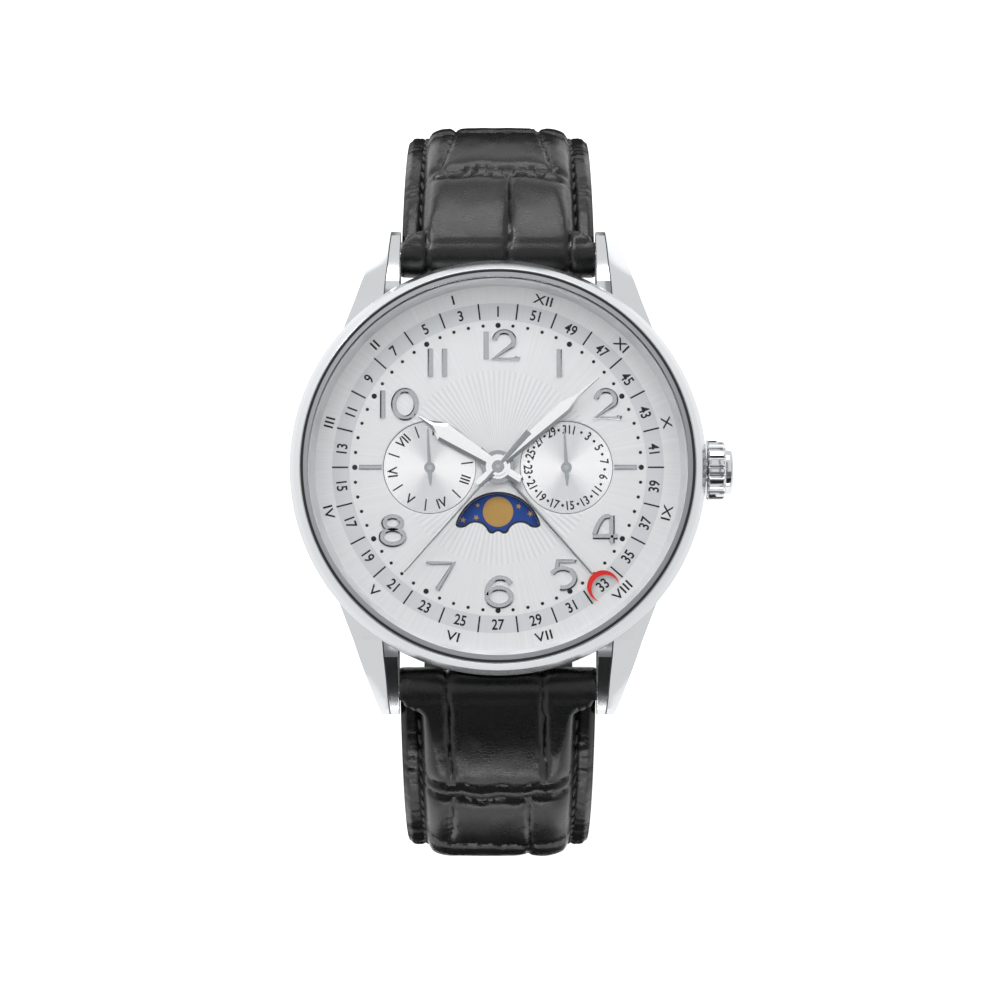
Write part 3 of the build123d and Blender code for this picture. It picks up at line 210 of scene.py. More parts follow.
def dielectric(name, colour, roughness, grain_width=0.2, bump=0.2, coat=0.0, shade=0.85, depth=0.02):
    """A moulded, painted or rubber surface, whose colour and height vary slightly.

    grain_width and depth are in real millimetres.
    """
    material = bpy.data.materials.new(name)
    material.use_nodes = True
    tree = material.node_tree
    shader = tree.nodes["Principled BSDF"]
    shader.inputs["Roughness"].default_value = roughness
    shader.inputs["Coat Weight"].default_value = coat
    shader.inputs["Coat Roughness"].default_value = 0.05
    place = add(tree, "ShaderNodeTexCoord")
    grain = add(
        tree, "ShaderNodeTexNoise", [("Vector", place.outputs["Object"])],
        Scale=1 / (grain_width * mm), Detail=4, Roughness=0.6,
    )
    tint = add(tree, "ShaderNodeMix", [("Factor", grain.outputs["Fac"])], data_type="RGBA")
    base = light(colour)
    tint.inputs[6].default_value = (*[c * shade for c in base[:3]], 1)
    tint.inputs[7].default_value = base
    tree.links.new(tint.outputs[2], shader.inputs["Base Color"])
    height = add(
        tree, "ShaderNodeBump", [("Height", grain.outputs["Fac"])],
        Strength=bump, Distance=depth * mm,
    )
    tree.links.new(height.outputs[0], shader.inputs["Normal"])
    return material


# Nitrile rubber gaskets: smooth, nearly black, with a dull sheen
black_rubber = dielectric("black_rubber", "0B0B0C", 0.35)
# Printing ink on the dial: thin, matt and slightly raised
black_ink = dielectric("black_ink", "101012", 0.45, grain_width=0.1, bump=0.1)
# Red lacquer on the week hand's crescent: glossy over a flat colour
red_lacquer = dielectric("red_lacquer", "E21A14", 0.4, grain_width=0.3, bump=0.1)
# Moulded plastic of the movement holder: pale, with a dull sheen
white_acetal = dielectric("white_acetal", "DAD9D4", 0.5, grain_width=0.4)
# Solder mask on the circuit board: dark green under a thin glossy skin
green_board = dielectric("green_board", "12402A", 0.4, grain_width=0.3, coat=0.2)
# Blue transfer print of the moon disc, silky
moon_blue = dielectric("moon_blue", "003F94", 0.6, grain_width=0.5, bump=0.1, shade=0.8)
# Gold transfer print of moons and stars, a little grainy
moon_gold = dielectric("moon_gold", "C39A50", 0.5, grain_width=0.12, bump=0.5, shade=0.72)


def sapphire_glass():
    """Synthetic sapphire, flat and polished: clear, with a faint surface reflection.

    The stone's own index is 1.77. A coating takes its reflections away, and the low index
    stands for that.
    """
    material = bpy.data.materials.new("sapphire_glass")
    material.use_nodes = True
    tree = material.node_tree
    shader = tree.nodes["Principled BSDF"]
    shader.inputs["Base Color"].default_value = light("FFFFFF")
    shader.inputs["Roughness"].default_value = 0.0
    shader.inputs["Transmission Weight"].default_value = 1
    shader.inputs["IOR"].default_value = 1.02
    return material


def leather():
    """Embossed calf, dyed black and waxed: soft pores, and a satin sheen that comes and goes in clouds.

    The pores are 0.35 mm apart, coarser than a real calf's, so that they show.
    """
    material = bpy.data.materials.new("waxed_embossed_leather")
    material.use_nodes = True
    tree = material.node_tree
    shader = tree.nodes["Principled BSDF"]
    shader.inputs["Specular IOR Level"].default_value = 0.37
    shader.inputs["Coat Weight"].default_value = 0.1
    shader.inputs["Coat Roughness"].default_value = 0.25
    place = add(tree, "ShaderNodeTexCoord")
    pores = add(
        tree, "ShaderNodeTexVoronoi", [("Vector", place.outputs["Object"])],
        feature="DISTANCE_TO_EDGE", Scale=1 / (0.35 * mm), Randomness=1,
    )
    clouds = add(
        tree, "ShaderNodeTexNoise", [("Vector", place.outputs["Object"])],
        Scale=1 / (2.5 * mm), Detail=3, Roughness=0.6,
    )
    fine = add(
        tree, "ShaderNodeTexNoise", [("Vector", place.outputs["Object"])],
        Scale=1 / (0.12 * mm), Detail=2, Roughness=0.6,
    )
    tint = add(tree, "ShaderNodeMix", [("Factor", clouds.outputs["Fac"])], data_type="RGBA")
    tint.inputs[6].default_value = light("040404")
    tint.inputs[7].default_value = light("0B0B0C")
    tree.links.new(tint.outputs[2], shader.inputs["Base Color"])
    gloss = add(
        tree, "ShaderNodeMapRange", [("Value", clouds.outputs["Fac"])],
        To_Min=0.2, To_Max=0.36,
    )
    tree.links.new(gloss.outputs[0], shader.inputs["Roughness"])
    edge = add(
        tree, "ShaderNodeMapRange", [("Value", pores.outputs["Distance"])],
        From_Max=0.12, To_Min=0, To_Max=1,
    )
    mixed = add(
        tree, "ShaderNodeMath", [(0, edge.outputs[0]), (1, fine.outputs["Fac"])], operation="ADD",
    )
    height = add(
        tree, "ShaderNodeBump", [("Height", mixed.outputs[0])],
        Strength=0.22, Distance=0.03 * mm,
    )
    tree.links.new(height.outputs[0], shader.inputs["Normal"])
    return material


# Lining: grained calf, matt and almost black brown
lining_calf = dielectric("lining_calf", "1B1715", 0.6, grain_width=0.25, bump=0.6, depth=0.04)
# Waxed linen thread of the stitching, twisted from three strands
waxed_thread = dielectric("waxed_thread", "131314", 0.5, grain_width=0.08, bump=0.5)
# Painted edge of the strap: thick and satin
edge_paint = dielectric("edge_paint", "0A0A0A", 0.4, grain_width=0.3)
strap_leather = leather()
crystal_glass = sapphire_glass()


fan_flutes = 108
fan_radius = 9.85               # of the fan of flutes round the dial's middle


def silvered(
    name, colour, dark, roughness, centre=(0, 0), anisotropic=0.6, turn=0.25,
    fan=False, rings=0.0, metallic=0.3,
):
    """Silvered brass under thin lacquer, brushed in rays round a centre.

    fan adds pressed flutes round the middle, with painted shade of their relief in the colour. rings
    adds turned circles that many millimetres apart, with a painted highlight that makes the colour paler
    in two sectors, left and right.
    """
    material = bpy.data.materials.new(name)
    material.use_nodes = True
    tree = material.node_tree
    shader = tree.nodes["Principled BSDF"]
    shader.inputs["Metallic"].default_value = metallic
    shader.inputs["Roughness"].default_value = roughness
    shader.inputs["Anisotropic"].default_value = anisotropic
    shader.inputs["Anisotropic Rotation"].default_value = turn
    around = add(tree, "ShaderNodeTangent", direction_type="RADIAL", axis="Z")
    tree.links.new(around.outputs[0], shader.inputs["Tangent"])
    place = add(tree, "ShaderNodeTexCoord")
    middle = add(tree, "ShaderNodeVectorMath", [(0, place.outputs["Object"])], operation="SUBTRACT")
    middle.inputs[1].default_value = (centre[0] * mm, centre[1] * mm, 0)
    plane = add(tree, "ShaderNodeVectorMath", [(0, middle.outputs[0])], operation="MULTIPLY")
    plane.inputs[1].default_value = (1, 1, 0)
    direction = add(tree, "ShaderNodeVectorMath", [(0, plane.outputs[0])], operation="NORMALIZE")
    reach = add(tree, "ShaderNodeVectorMath", [(0, plane.outputs[0])], operation="LENGTH")
    rays = add(
        tree, "ShaderNodeTexNoise", [("Vector", direction.outputs[0])],
        Scale=60, Detail=3, Roughness=0.7,
    )
    tint = add(tree, "ShaderNodeMix", [("Factor", rays.outputs["Fac"])], data_type="RGBA")
    tint.inputs[6].default_value = light(dark)
    tint.inputs[7].default_value = light(colour)
    tree.links.new(tint.outputs[2], shader.inputs["Base Color"])
    height = rays.outputs["Fac"]
    strength = 0.05
    if fan:
        angle = add(
            tree, "ShaderNodeTexGradient", [("Vector", plane.outputs[0])], gradient_type="RADIAL",
        )
        phase = add(tree, "ShaderNodeMath", [(0, angle.outputs["Fac"])], operation="MULTIPLY")
        phase.inputs[1].default_value = 2 * pi * fan_flutes
        wave = add(tree, "ShaderNodeMath", [(0, phase.outputs[0])], operation="SINE")
        inside = add(tree, "ShaderNodeMath", [(0, reach.outputs["Value"])], operation="LESS_THAN")
        inside.inputs[1].default_value = fan_radius * mm
        flutes = add(
            tree, "ShaderNodeMath", [(0, wave.outputs[0]), (1, inside.outputs[0])], operation="MULTIPLY",
        )
        height = flutes.outputs[0]
        strength = 0.5
        # The flutes are also painted lighter and darker in the colour: painted shade of their relief
        shade = add(tree, "ShaderNodeMath", [(0, flutes.outputs[0])], operation="MULTIPLY")
        shade.inputs[1].default_value = 0.35
        flute_painted_shade = add(
            tree, "ShaderNodeMath", [(0, rays.outputs["Fac"]), (1, shade.outputs[0])],
            operation="ADD", use_clamp=True,
        )
        tree.links.new(flute_painted_shade.outputs[0], tint.inputs["Factor"])
    if rings:
        phase = add(tree, "ShaderNodeMath", [(0, reach.outputs["Value"])], operation="MULTIPLY")
        phase.inputs[1].default_value = 2 * pi / (rings * mm)
        height = add(tree, "ShaderNodeMath", [(0, phase.outputs[0])], operation="SINE").outputs[0]
        strength = 0.12
        # Turned circles shine in two sectors, left and right, and even light doesn't show those by
        # itself, so the colour is painted paler there: a painted highlight
        parts = add(tree, "ShaderNodeSeparateXYZ", [("Vector", direction.outputs[0])])
        sideways = add(tree, "ShaderNodeMath", [(0, parts.outputs["X"])], operation="ABSOLUTE")
        painted_highlight_sector = add(
            tree, "ShaderNodeMapRange", [("Value", sideways.outputs[0])],
            interpolation_type="SMOOTHSTEP", From_Min=0.3,
        )
        mixed = add(
            tree, "ShaderNodeMath", [(0, rays.outputs["Fac"]), (2, painted_highlight_sector.outputs[0])],
            operation="MULTIPLY_ADD",
        )
        mixed.inputs[1].default_value = 0.2
        tree.links.new(mixed.outputs[0], tint.inputs["Factor"])
    bump = add(tree, "ShaderNodeBump", [("Height", height)], Strength=strength, Distance=0.02 * mm)
    tree.links.new(bump.outputs[0], shader.inputs["Normal"])
    return material


# Main dial: silvered, nearly white, brushed in rays, with a pressed fan of flutes round the middle,
# whose relief is also painted as shade in the colour
silver_dial = silvered("silver_dial", "F2F3F4", "DFE1E3", 0.34, fan=True)
# Week track: the same silvering, a shade greyer
silver_track = silvered("silver_track", "DFE1E4", "D2D5D8", 0.4)
# Subdials: turned in fine circles 0.06 apart, drawn 0.2 apart so that they show, with a painted
# highlight that makes the colour paler left and right
azurage = {
    side: silvered(
        name, "FBFBFC", "D9DBDE", 0.24, (side * subdial_offset, 0), 0.9, 0, rings=0.2, metallic=0.9,
    )
    for side, name in ((-1, "azurage_left"), (1, "azurage_right"))
}
# Grey ring near each subdial's rim: painted shade of the step down to the sunk floor, thin and matt
rim_painted_shade = dielectric("rim_painted_shade", "6E7276", 0.45, grain_width=0.1, bump=0.1)
# Flange: turned and lightly polished steel under the glass, bright and soft
flange_steel = metal("flange_steel", "F0F1F2", 0.5, rough_spread=0.04, grain_width=0.3)
# Applied numerals and bars: diamond-cut and polished steel, light or dark as each facet turns
applied_steel = metal("applied_steel", "B0B2B5", 0.14, rough_spread=0.02, grain_width=0.3)
# Bevel and edge of the crystal: sapphire ground with diamond, pale grey and satin
ground_sapphire = dielectric("ground_sapphire", "94979A", 0.3, grain_width=0.1, bump=0.2)
# Fine hands: steel needles, finely brushed, a middle grey over the pale dial
needle_steel = metal("needle_steel", "A2A5A8", 0.18, rough_spread=0.03, grain_width=0.3)
# Hour and minute hands: rhodium-plated and polished, nearly white with crisp bevels
hand_steel = metal("hand_steel", "F0F1F2", 0.12, rough_spread=0.03, grain_width=0.3)
# Nickel-plated can of the button cell, drawn and slightly dull
cell_steel = metal("cell_steel", "B9B6AE", 0.35, grain=0.2, grain_width=0.2)


def meshed(curve_object):
    """A curve or text object turned to a bmesh in millimetres, and the object removed."""
    scene = bpy.context.scene
    scene.collection.objects.link(curve_object)
    bpy.context.view_layer.update()
    mesh = bpy.data.meshes.new_from_object(
        curve_object.evaluated_get(bpy.context.evaluated_depsgraph_get())
    )
    data = curve_object.data
    bpy.data.objects.remove(curve_object)
    bpy.data.curves.remove(data)
    bm = bmesh.new()
    bm.from_mesh(mesh)
    bpy.data.meshes.remove(mesh)
    return bm


def carved(piece, cutter):
    """Cuts a closed cutter, in millimetres, out of a finished piece."""
    bmesh.ops.scale(cutter, vec=Vector((mm, mm, mm)), verts=cutter.verts)
    mesh = bpy.data.meshes.new("cutter")
    cutter.to_mesh(mesh)
    cutter.free()
    tool = bpy.data.objects.new("cutter", mesh)
    bpy.context.scene.collection.objects.link(tool)
    boolean = piece.modifiers.new("cut", "BOOLEAN")
    boolean.object = tool
    boolean.solver = "EXACT"
    bpy.context.view_layer.update()
    result = bpy.data.meshes.new_from_object(
        piece.evaluated_get(bpy.context.evaluated_depsgraph_get())
    )
    piece.modifiers.remove(boolean)
    old = piece.data
    piece.data = result
    result.name = piece.name
    bpy.data.meshes.remove(old)
    bpy.data.objects.remove(tool)
    bpy.data.meshes.remove(mesh)


def rod(radius, start, end, y, z):
    """A closed round bar along X."""
    bm = bmesh.new()
    bmesh.ops.create_cone(
        bm, cap_ends=True, segments=48, radius1=radius, radius2=radius, depth=end - start,
        matrix=Matrix.Translation(((start + end) / 2, y, z)) @ Matrix.Rotation(radians(90), 4, "Y"),
    )
    return bm


# Bezel: a broad slope, a little domed, that ends in a fine flat rim round the crystal
bezel_top = 9.2
bezel_shoulder = 7.3            # height where the slope starts, over the upright edge
bezel_rim = 19.87               # outer radius of the flat rim
slope_middle = ((bezel_radius + bezel_rim) / 2 + 0.07, (bezel_shoulder + bezel_top) / 2 + 0.07)
bezel_outline = rounded(
    [
        (bezel_rim, bezel_top), (gasket_outer, bezel_top), (gasket_outer, crystal_seat),
        (19.2, crystal_seat), (19.2, 7.13), (20.03, 7.13), (20.03, case_top),
        (bezel_radius, case_top), (bezel_radius, bezel_shoulder), slope_middle,
    ],
    0.09,
)
finish_piece(spun(bezel_outline, 240), "bezel_ring", bezel_steel, "case", ["bezel"], crease=25)

# Crystal, with a ground bevel and edge, and its gasket
crystal_outline = [
    (at_axis, crystal_seat), (crystal_radius, crystal_seat), (crystal_radius, crystal_top - 0.32),
    (crystal_radius - 0.02, crystal_top - 0.29), (crystal_radius - 0.43, crystal_top - 0.01),
    (crystal_radius - 0.48, crystal_top), (at_axis, crystal_top),
]
crystal_bm = spun(crystal_outline, 240)
for face in crystal_bm.faces:
    middle = face.calc_center_median()
    ground = hypot(middle.x, middle.y) > crystal_radius - 0.47 and middle.z > crystal_seat
    face.material_index = 1 if ground else 0
crystal_piece = finish_piece(crystal_bm, "crystal_glass", crystal_glass, "case", ["crystal"], crease=12)
crystal_piece.data.materials.append(ground_sapphire)
gasket_top = 9.32
gasket_outline = rounded(
    [
        (crystal_radius, crystal_seat), (gasket_outer, crystal_seat),
        (gasket_outer, gasket_top), (crystal_radius, gasket_top),
    ],
    0.06,
)
finish_piece(spun(gasket_outline, 240), "gasket_ring", black_rubber, "case", ["crystal_gasket"])

# Dial flange: a bright cone between the dial and the crystal
flange_outline = rounded([(18.45, case_top), (19.15, case_top), (19.15, 7.95), (19.0, 7.95)], 0.04, 2)
finish_piece(spun(flange_outline, 240), "flange_ring", flange_steel, "case", ["dial_flange"], crease=25)

# Case band, with room behind each strap's nose and a hole for the crown's tube
nose_room = 2.65
tube_radius = 1.2
band_outline = rounded(
    [
        (17.2, case_seat), (18.8, case_seat), (case_radius - 0.05, 2.25), (case_radius, 2.5),
        (case_radius, case_top), (20.0, case_top), (20.0, 7.1), (19.2, 7.1), (19.2, case_top),
        (18.9, case_top), (18.9, 2.0), (17.2, 2.0),
    ],
    0.22, 4,
)

# Lugs: shares of the reach, of the root's width (ridge, outer edge) and of the top (top, edge, foot)
lug_section_shares = (
    (0.524, 0.26, 0.97, 1.00, 0.84, 0.05),
    (0.700, 0.24, 0.71, 1.00, 0.78, 0.05),
    (0.770, 0.22, 0.62, 0.96, 0.72, 0.05),
    (0.850, 0.19, 0.51, 0.82, 0.61, 0.05),
    (0.930, 0.17, 0.39, 0.62, 0.47, 0.06),
    (0.980, 0.15, 0.31, 0.48, 0.38, 0.09),
    (1.000, 0.14, 0.26, 0.38, 0.33, 0.15),
)
lug_reach = 24.8
lug_width = 6.4
lug_top = 6.45


def lug(side, end):
    """One lug, lofted through its sections, with its long edges eased by polishing."""
    bm = bmesh.new()
    rings = []
    ridge_line = set()
    for reach, ridge, outer, top, edge, foot in lug_section_shares:
        corners = (
            (lug_inner, foot * lug_top), (lug_inner, top * lug_top),
            (lug_inner + ridge * lug_width, top * lug_top),
            (lug_inner + outer * lug_width, edge * lug_top),
            (lug_inner + outer * lug_width, foot * lug_top),
        )
        ring = [bm.verts.new((side * x, end * reach * lug_reach, z)) for x, z in corners]
        rings.append([bm.edges.new((a, b)) for a, b in zip(ring, ring[1:] + ring[:1])])
        ridge_line.add(ring[2])
    for near, far in zip(rings, rings[1:]):
        bmesh.ops.bridge_loops(bm, edges=near + far)
    bmesh.ops.edgeloop_fill(bm, edges=rings[0])
    bmesh.ops.edgeloop_fill(bm, edges=rings[-1])
    bmesh.ops.recalc_face_normals(bm, faces=bm.faces)
    # The bevel along the ridge takes the lug's second material, painted dark: a painted reflection
    along_ridge = [e for e in bm.edges if e.verts[0] in ridge_line and e.verts[1] in ridge_line]
    bmesh.ops.bevel(
        bm, geom=along_ridge, offset=0.07, affect="EDGES", segments=1, profile=0.5, material=1,
    )
    sharp = [e for e in bm.edges if e.calc_face_angle(0) > radians(40)]
    bmesh.ops.bevel(
        bm, geom=sharp, offset=0.05, affect="EDGES", segments=3, profile=0.5, material=-1,
        clamp_overlap=True,
    )
    return bm


band = finish_piece(spun(band_outline, 240), "case_band", satin_steel, "case", ["mid_case"], crease=25)
hollows = [rod(nose_room, -lug_inner, lug_inner, end * bar_reach, bar_height) for end in (-1, 1)]
carved(band, joined(hollows))
carved(band, rod(tube_radius, 17.9, 21.8, 0, crown_height))
band.data.set_sharp_from_angle(angle=radians(25))
for side in (-1, 1):
    for end in (-1, 1):
        name = "lug_" + ("upper" if end > 0 else "lower") + ("_right" if side > 0 else "_left")
        piece = finish_piece(lug(side, end), name, polished_steel, "case", ["mid_case"], crease=12)
        piece.data.materials.append(ridge_painted_reflection)

# Case back: satin steel with a bevelled rim and a turned line round its middle
back_outline = rounded(
    [
        (at_axis, 0), (14.6, 0), (14.6, 0.15), (15.2, 0.15), (15.2, 0), (17.9, 0), (18.6, 0.9),
        (17.15, 0.9), (17.15, 1.6), (16.4, 1.6), (16.4, 0.9), (at_axis, 0.9),
    ],
    0.07,
)
finish_piece(spun(back_outline, 200), "back_cover", satin_steel, "case", ["case_back"], crease=25)
back_gasket = rounded([(17.3, 0.9), (17.8, 0.9), (17.8, 1.35), (17.3, 1.35)], 0.12)
finish_piece(spun(back_gasket, 120), "back_gasket_ring", black_rubber, "case", ["case_back_gasket"])


crown_flutes = 20
flute_depth = 0.24


def crown_ring(bm, x, scale, depth):
    """One ring of the crown's outline at a place along X, with flutes of that share of their depth."""
    loop = []
    points = crown_flutes * 12
    for step in range(points):
        turn = 360 * step / points
        off = abs((turn * crown_flutes / 360) % 1 - 0.5) * 2
        dip = flute_depth * depth * max(0.0, 1 - (1 - off) ** 2 * 5.5)
        y, z = polar((crown_radius - dip) * scale, turn)
        loop.append(bm.verts.new((x, y, z + crown_height)))
    return [bm.edges.new((a, b)) for a, b in zip(loop, loop[1:] + loop[:1])]


def fluted_crown():
    """The crown: rounded flutes, eased ends and a smooth stepped cap, hollow at its inner end."""
    bm = bmesh.new()
    stations = (                # place along X, share of the radius, share of the flutes' depth
        (22.2, 0.42, 0), (21.2, 0.42, 0), (21.15, 0.44, 0), (21.15, 0.88, 0.1), (21.19, 0.94, 0.5),
        (21.3, 0.985, 0.85), (21.45, 1, 1), (22.72, 1, 1), (22.88, 0.985, 0.85), (22.97, 0.95, 0.5),
        (23.0, 0.9, 0.15), (23.02, 0.845, 0), (23.06, 0.824, 0), (23.12, 0.823, 0), (23.55, 0.823, 0),
        (23.68, 0.80, 0), (23.79, 0.75, 0), (23.85, 0.68, 0), (23.85, 0.5, 0),
    )
    rings = [crown_ring(bm, *station) for station in stations]
    for near, far in zip(rings, rings[1:]):
        bmesh.ops.bridge_loops(bm, edges=near + far)
    bmesh.ops.edgeloop_fill(bm, edges=rings[0])
    bmesh.ops.edgeloop_fill(bm, edges=rings[-1])
    bmesh.ops.recalc_face_normals(bm, faces=bm.faces)
    return bm


finish_piece(fluted_crown(), "crown_fluted", polished_steel, "winder", ["crown"], crease=35)


# Dial lettering and plates are drawn flat, as closed outlines
def flat(outlines, bottom, top, softened=0.0):
    """A plate with these closed outlines, each its edge or a hole, and edges softened that much."""
    data = bpy.data.curves.new("flat", "CURVE")
    data.dimensions = "2D"
    data.fill_mode = "BOTH"
    for outline in outlines:
        spline = data.splines.new("POLY")
        spline.points.add(len(outline) - 1)
        for point, (x, y) in zip(spline.points, outline):
            point.co = (x, y, 0, 1)
        spline.use_cyclic_u = True
    data.extrude = (top - bottom) / 2 - softened
    data.bevel_depth = softened
    data.bevel_resolution = 1
    data.offset = -softened
    bm = meshed(bpy.data.objects.new("flat", data))
    bmesh.ops.remove_doubles(bm, verts=bm.verts, dist=1e-4)
    bmesh.ops.translate(bm, vec=(0, 0, (top + bottom) / 2), verts=bm.verts)
    return bm


def circle(radius, centre=(0, 0), count=180, start=0, sweep=360):
    """Points round a circle, or along an arc of it, clockwise from 12 o'clock."""
    ends = count if sweep == 360 else count + 1
    points = [polar(radius, start + sweep * step / count) for step in range(ends)]
    return [(centre[0] + x, centre[1] + y) for x, y in points]


def moon_window(grow=0.0):
    """The moon window's outline: a wide arch above two humps, with rounded lobes between."""
    arch = 4.23 + grow
    hump = 1.5 - grow
    hump_offset = 2.27
    lobe = 0.88 - grow
    top_end = sqrt(arch ** 2 - lobe ** 2)
    arc_end = degrees(atan2(top_end, lobe))
    half = circle(arch, count=48, start=0, sweep=arc_end)
    hump_start = degrees(atan2(sqrt(hump ** 2 - lobe ** 2), lobe))
    hump_points = circle(hump, (hump_offset, 0), 36, hump_start, -hump_start - 70)
    corner_in = hump_points[0]
    corner_out = half[-1]
    room = (corner_out[0] - corner_in[0]) * 0.46
    half = [p for p in half if hypot(p[0] - corner_out[0], p[1] - corner_out[1]) > room]
    hump_points = [p for p in hump_points if hypot(p[0] - corner_in[0], p[1] - corner_in[1]) > room]
    lobe_end = []
    for step in range(1, 12):
        t = step / 12
        a, b, c, d = Vector(half[-1]), Vector(corner_out), Vector(corner_in), Vector(hump_points[0])
        point = (1 - t) ** 3 * a + 3 * t * (1 - t) ** 2 * b + 3 * t * t * (1 - t) * c + t ** 3 * d
        lobe_end.append(tuple(point))
    half += lobe_end + hump_points
    # The point between the two humps, softened
    half += [(0.76 + grow / 2, 0.44 - grow), (0.68, 0.40 - grow), (0.60 - grow / 2, 0.39 - grow)]
    half += circle(0.62 - grow, count=8, start=46, sweep=-46)
    half = [p for p in half if p[0] > 0.01]
    left = [(-x, y) for x, y in reversed(half)]
    return [(x, y - subdial_offset) for x, y in half + left]


centre_hole = 1.1
dial_outlines = [circle(dial_radius, count=240), circle(centre_hole, count=64), moon_window()]
for side in (-1, 1):
    dial_outlines.append(circle(subdial_radius, (side * subdial_offset, 0), 160))
dial_bm = flat(dial_outlines, dial_bottom, dial_top, 0.035)
finish_piece(dial_bm, "dial_plate", silver_dial, "case", ["dial"], crease=20)

# Subdials: sunk floors with a hole for the hand's pin, and a grey ring near the edge, painted shade of
# the step
floor_level = dial_top - subdial_depth
pin_hole = 0.28
line_inner = 4.63
line_outer = 4.71
for side, label in ((-1, "day"), (1, "date")):
    centre = (side * subdial_offset, 0)
    floor_outline = [
        (pin_hole, dial_bottom), (subdial_radius, dial_bottom),
        (subdial_radius, floor_level), (pin_hole, floor_level),
    ]
    sunk_bm = spun(floor_outline, 160, centre)
    finish_piece(sunk_bm, label + "_subdial", azurage[side], "case", ["dial"], crease=20)
    line_outline = [
        (line_inner, floor_level), (line_outer, floor_level),
        (line_outer, floor_level + print_height), (line_inner, floor_level + print_height),
    ]
    finish_piece(spun(line_outline, 160, centre), label + "_subdial_rim_shade", rim_painted_shade, "case", ["dial"])

# Black edge printed round the moon window
finish_piece(
    flat([moon_window(0.2), moon_window(0.0)], dial_top - 0.001, dial_top + print_height),
    "moon_window_line", black_ink, "case", ["dial"],
)

# Week track: a greyer ring between the minute dots and the months
track_inner = 14.98
track_outer = 16.72
track_outline = [
    (track_inner, dial_top - 0.01), (track_outer, dial_top - 0.01),
    (track_outer, dial_top + 0.006), (track_inner, dial_top + 0.006),
]
finish_piece(spun(track_outline, 240), "week_track", silver_track, "case", ["dial"])

# Moon disc: blue sky with two moons and stars
moon_disc_bottom = 5.72
moon_disc_radius = 4.75
disc_outline = [
    (at_axis, moon_disc_bottom), (moon_disc_radius, moon_disc_bottom),
    (moon_disc_radius, moon_disc_top), (at_axis, moon_disc_top),
]
disc_bm = spun(disc_outline, 160, (0, -subdial_offset))
finish_piece(disc_bm, "moon_sky", moon_blue, "moons", ["moon_disc"], crease=20)


def star(centre, radius, turn):
    """A five-pointed star's outline."""
    points = []
    for step in range(10):
        reach = radius if step % 2 == 0 else radius * 0.42
        x, y = polar(reach, turn + 36 * step)
        points.append((centre[0] + x, centre[1] + y))
    return points


moon_radius = 1.53
moon_reach = 2.45
star_places = (                 # X and Y from the disc's middle, radius, turn
    (-3.52, 1.62, 0.33, 10), (-2.2, 1.86, 0.33, 30), (-2.05, 3.1, 0.24, 5),
    (2.08, 3.0, 0.31, 20), (3.25, 2.26, 0.36, 45),
)
gold_parts = []
for half_turn in (0, 180):
    turned = Matrix.Rotation(radians(half_turn), 4, "Z")
    shapes = [circle(moon_radius, (0, moon_reach), 96)]
    shapes += [star((x, y), radius, turn) for x, y, radius, turn in star_places]
    for shape in shapes:
        part = flat([shape], moon_disc_top - 0.001, moon_disc_top + print_height)
        bmesh.ops.transform(part, matrix=turned, verts=part.verts)
        gold_parts.append(part)
gold_bm = joined(gold_parts)
bmesh.ops.translate(gold_bm, vec=(0, -subdial_offset, 0), verts=gold_bm.verts)
finish_piece(gold_bm, "moons_and_stars", moon_gold, "moons", ["moon_disc"])


# Printing
def lettering(text, height, centre, angle=0, weight=0.0, stretch=1.0):
    """Printed characters of that cap height, centred at a place and turned clockwise."""
    data = bpy.data.curves.new("lettering", "FONT")
    data.body = text
    data.align_x = "CENTER"
    data.align_y = "CENTER"
    data.size = height / 0.7
    data.offset = weight
    data.extrude = print_height / 2
    data.resolution_u = 3
    bm = meshed(bpy.data.objects.new("lettering", data))
    low = min(v.co.y for v in bm.verts)
    high = max(v.co.y for v in bm.verts)
    left = min(v.co.x for v in bm.verts)
    right = max(v.co.x for v in bm.verts)
    bmesh.ops.translate(bm, vec=(-(left + right) / 2, -(low + high) / 2, 0), verts=bm.verts)
    bmesh.ops.scale(bm, vec=(stretch, 1, 1), verts=bm.verts)
    bmesh.ops.rotate(bm, cent=(0, 0, 0), matrix=Matrix.Rotation(radians(-angle), 3, "Z"), verts=bm.verts)
    bmesh.ops.translate(bm, vec=(centre[0], centre[1], 0), verts=bm.verts)
    return bm


def round_the_ring(text, height, radius, angle, centre=(0, 0), **settings):
    """Lettering on a ring: tops outwards, or towards the middle in the lower half."""
    x, y = polar(radius, angle)
    turn = angle if -90 <= (angle + 180) % 360 - 180 <= 90 else angle + 180
    return lettering(text, height, (centre[0] + x, centre[1] + y), turn, **settings)


def tick(inner, outer, width, angle, centre=(0, 0)):
    """A printed line that points at the ring's middle."""
    bm = bmesh.new()
    bmesh.ops.create_cube(bm, size=1, matrix=Matrix.Diagonal((width, outer - inner, print_height, 1)))
    bmesh.ops.translate(bm, vec=(0, (inner + outer) / 2, 0), verts=bm.verts)
    bmesh.ops.rotate(bm, cent=(0, 0, 0), matrix=Matrix.Rotation(radians(-angle), 3, "Z"), verts=bm.verts)
    bmesh.ops.translate(bm, vec=(centre[0], centre[1], 0), verts=bm.verts)
    return bm


def dot(radius, ring, angle, centre=(0, 0)):
    """A printed dot on a ring."""
    bm = bmesh.new()
    x, y = polar(ring, angle)
    bmesh.ops.create_cone(
        bm, cap_ends=True, segments=20, radius1=radius, radius2=radius, depth=print_height,
        matrix=Matrix.Translation((centre[0] + x, centre[1] + y, 0)),
    )
    return bm


def printed(parts, name, height):
    """Joins printed marks into one black piece at the height of the face that carries them."""
    bm = joined(parts)
    bmesh.ops.translate(bm, vec=(0, 0, height + print_height / 2), verts=bm.verts)
    finish_piece(bm, name, black_ink, "case", ["dial"], smooth=False)


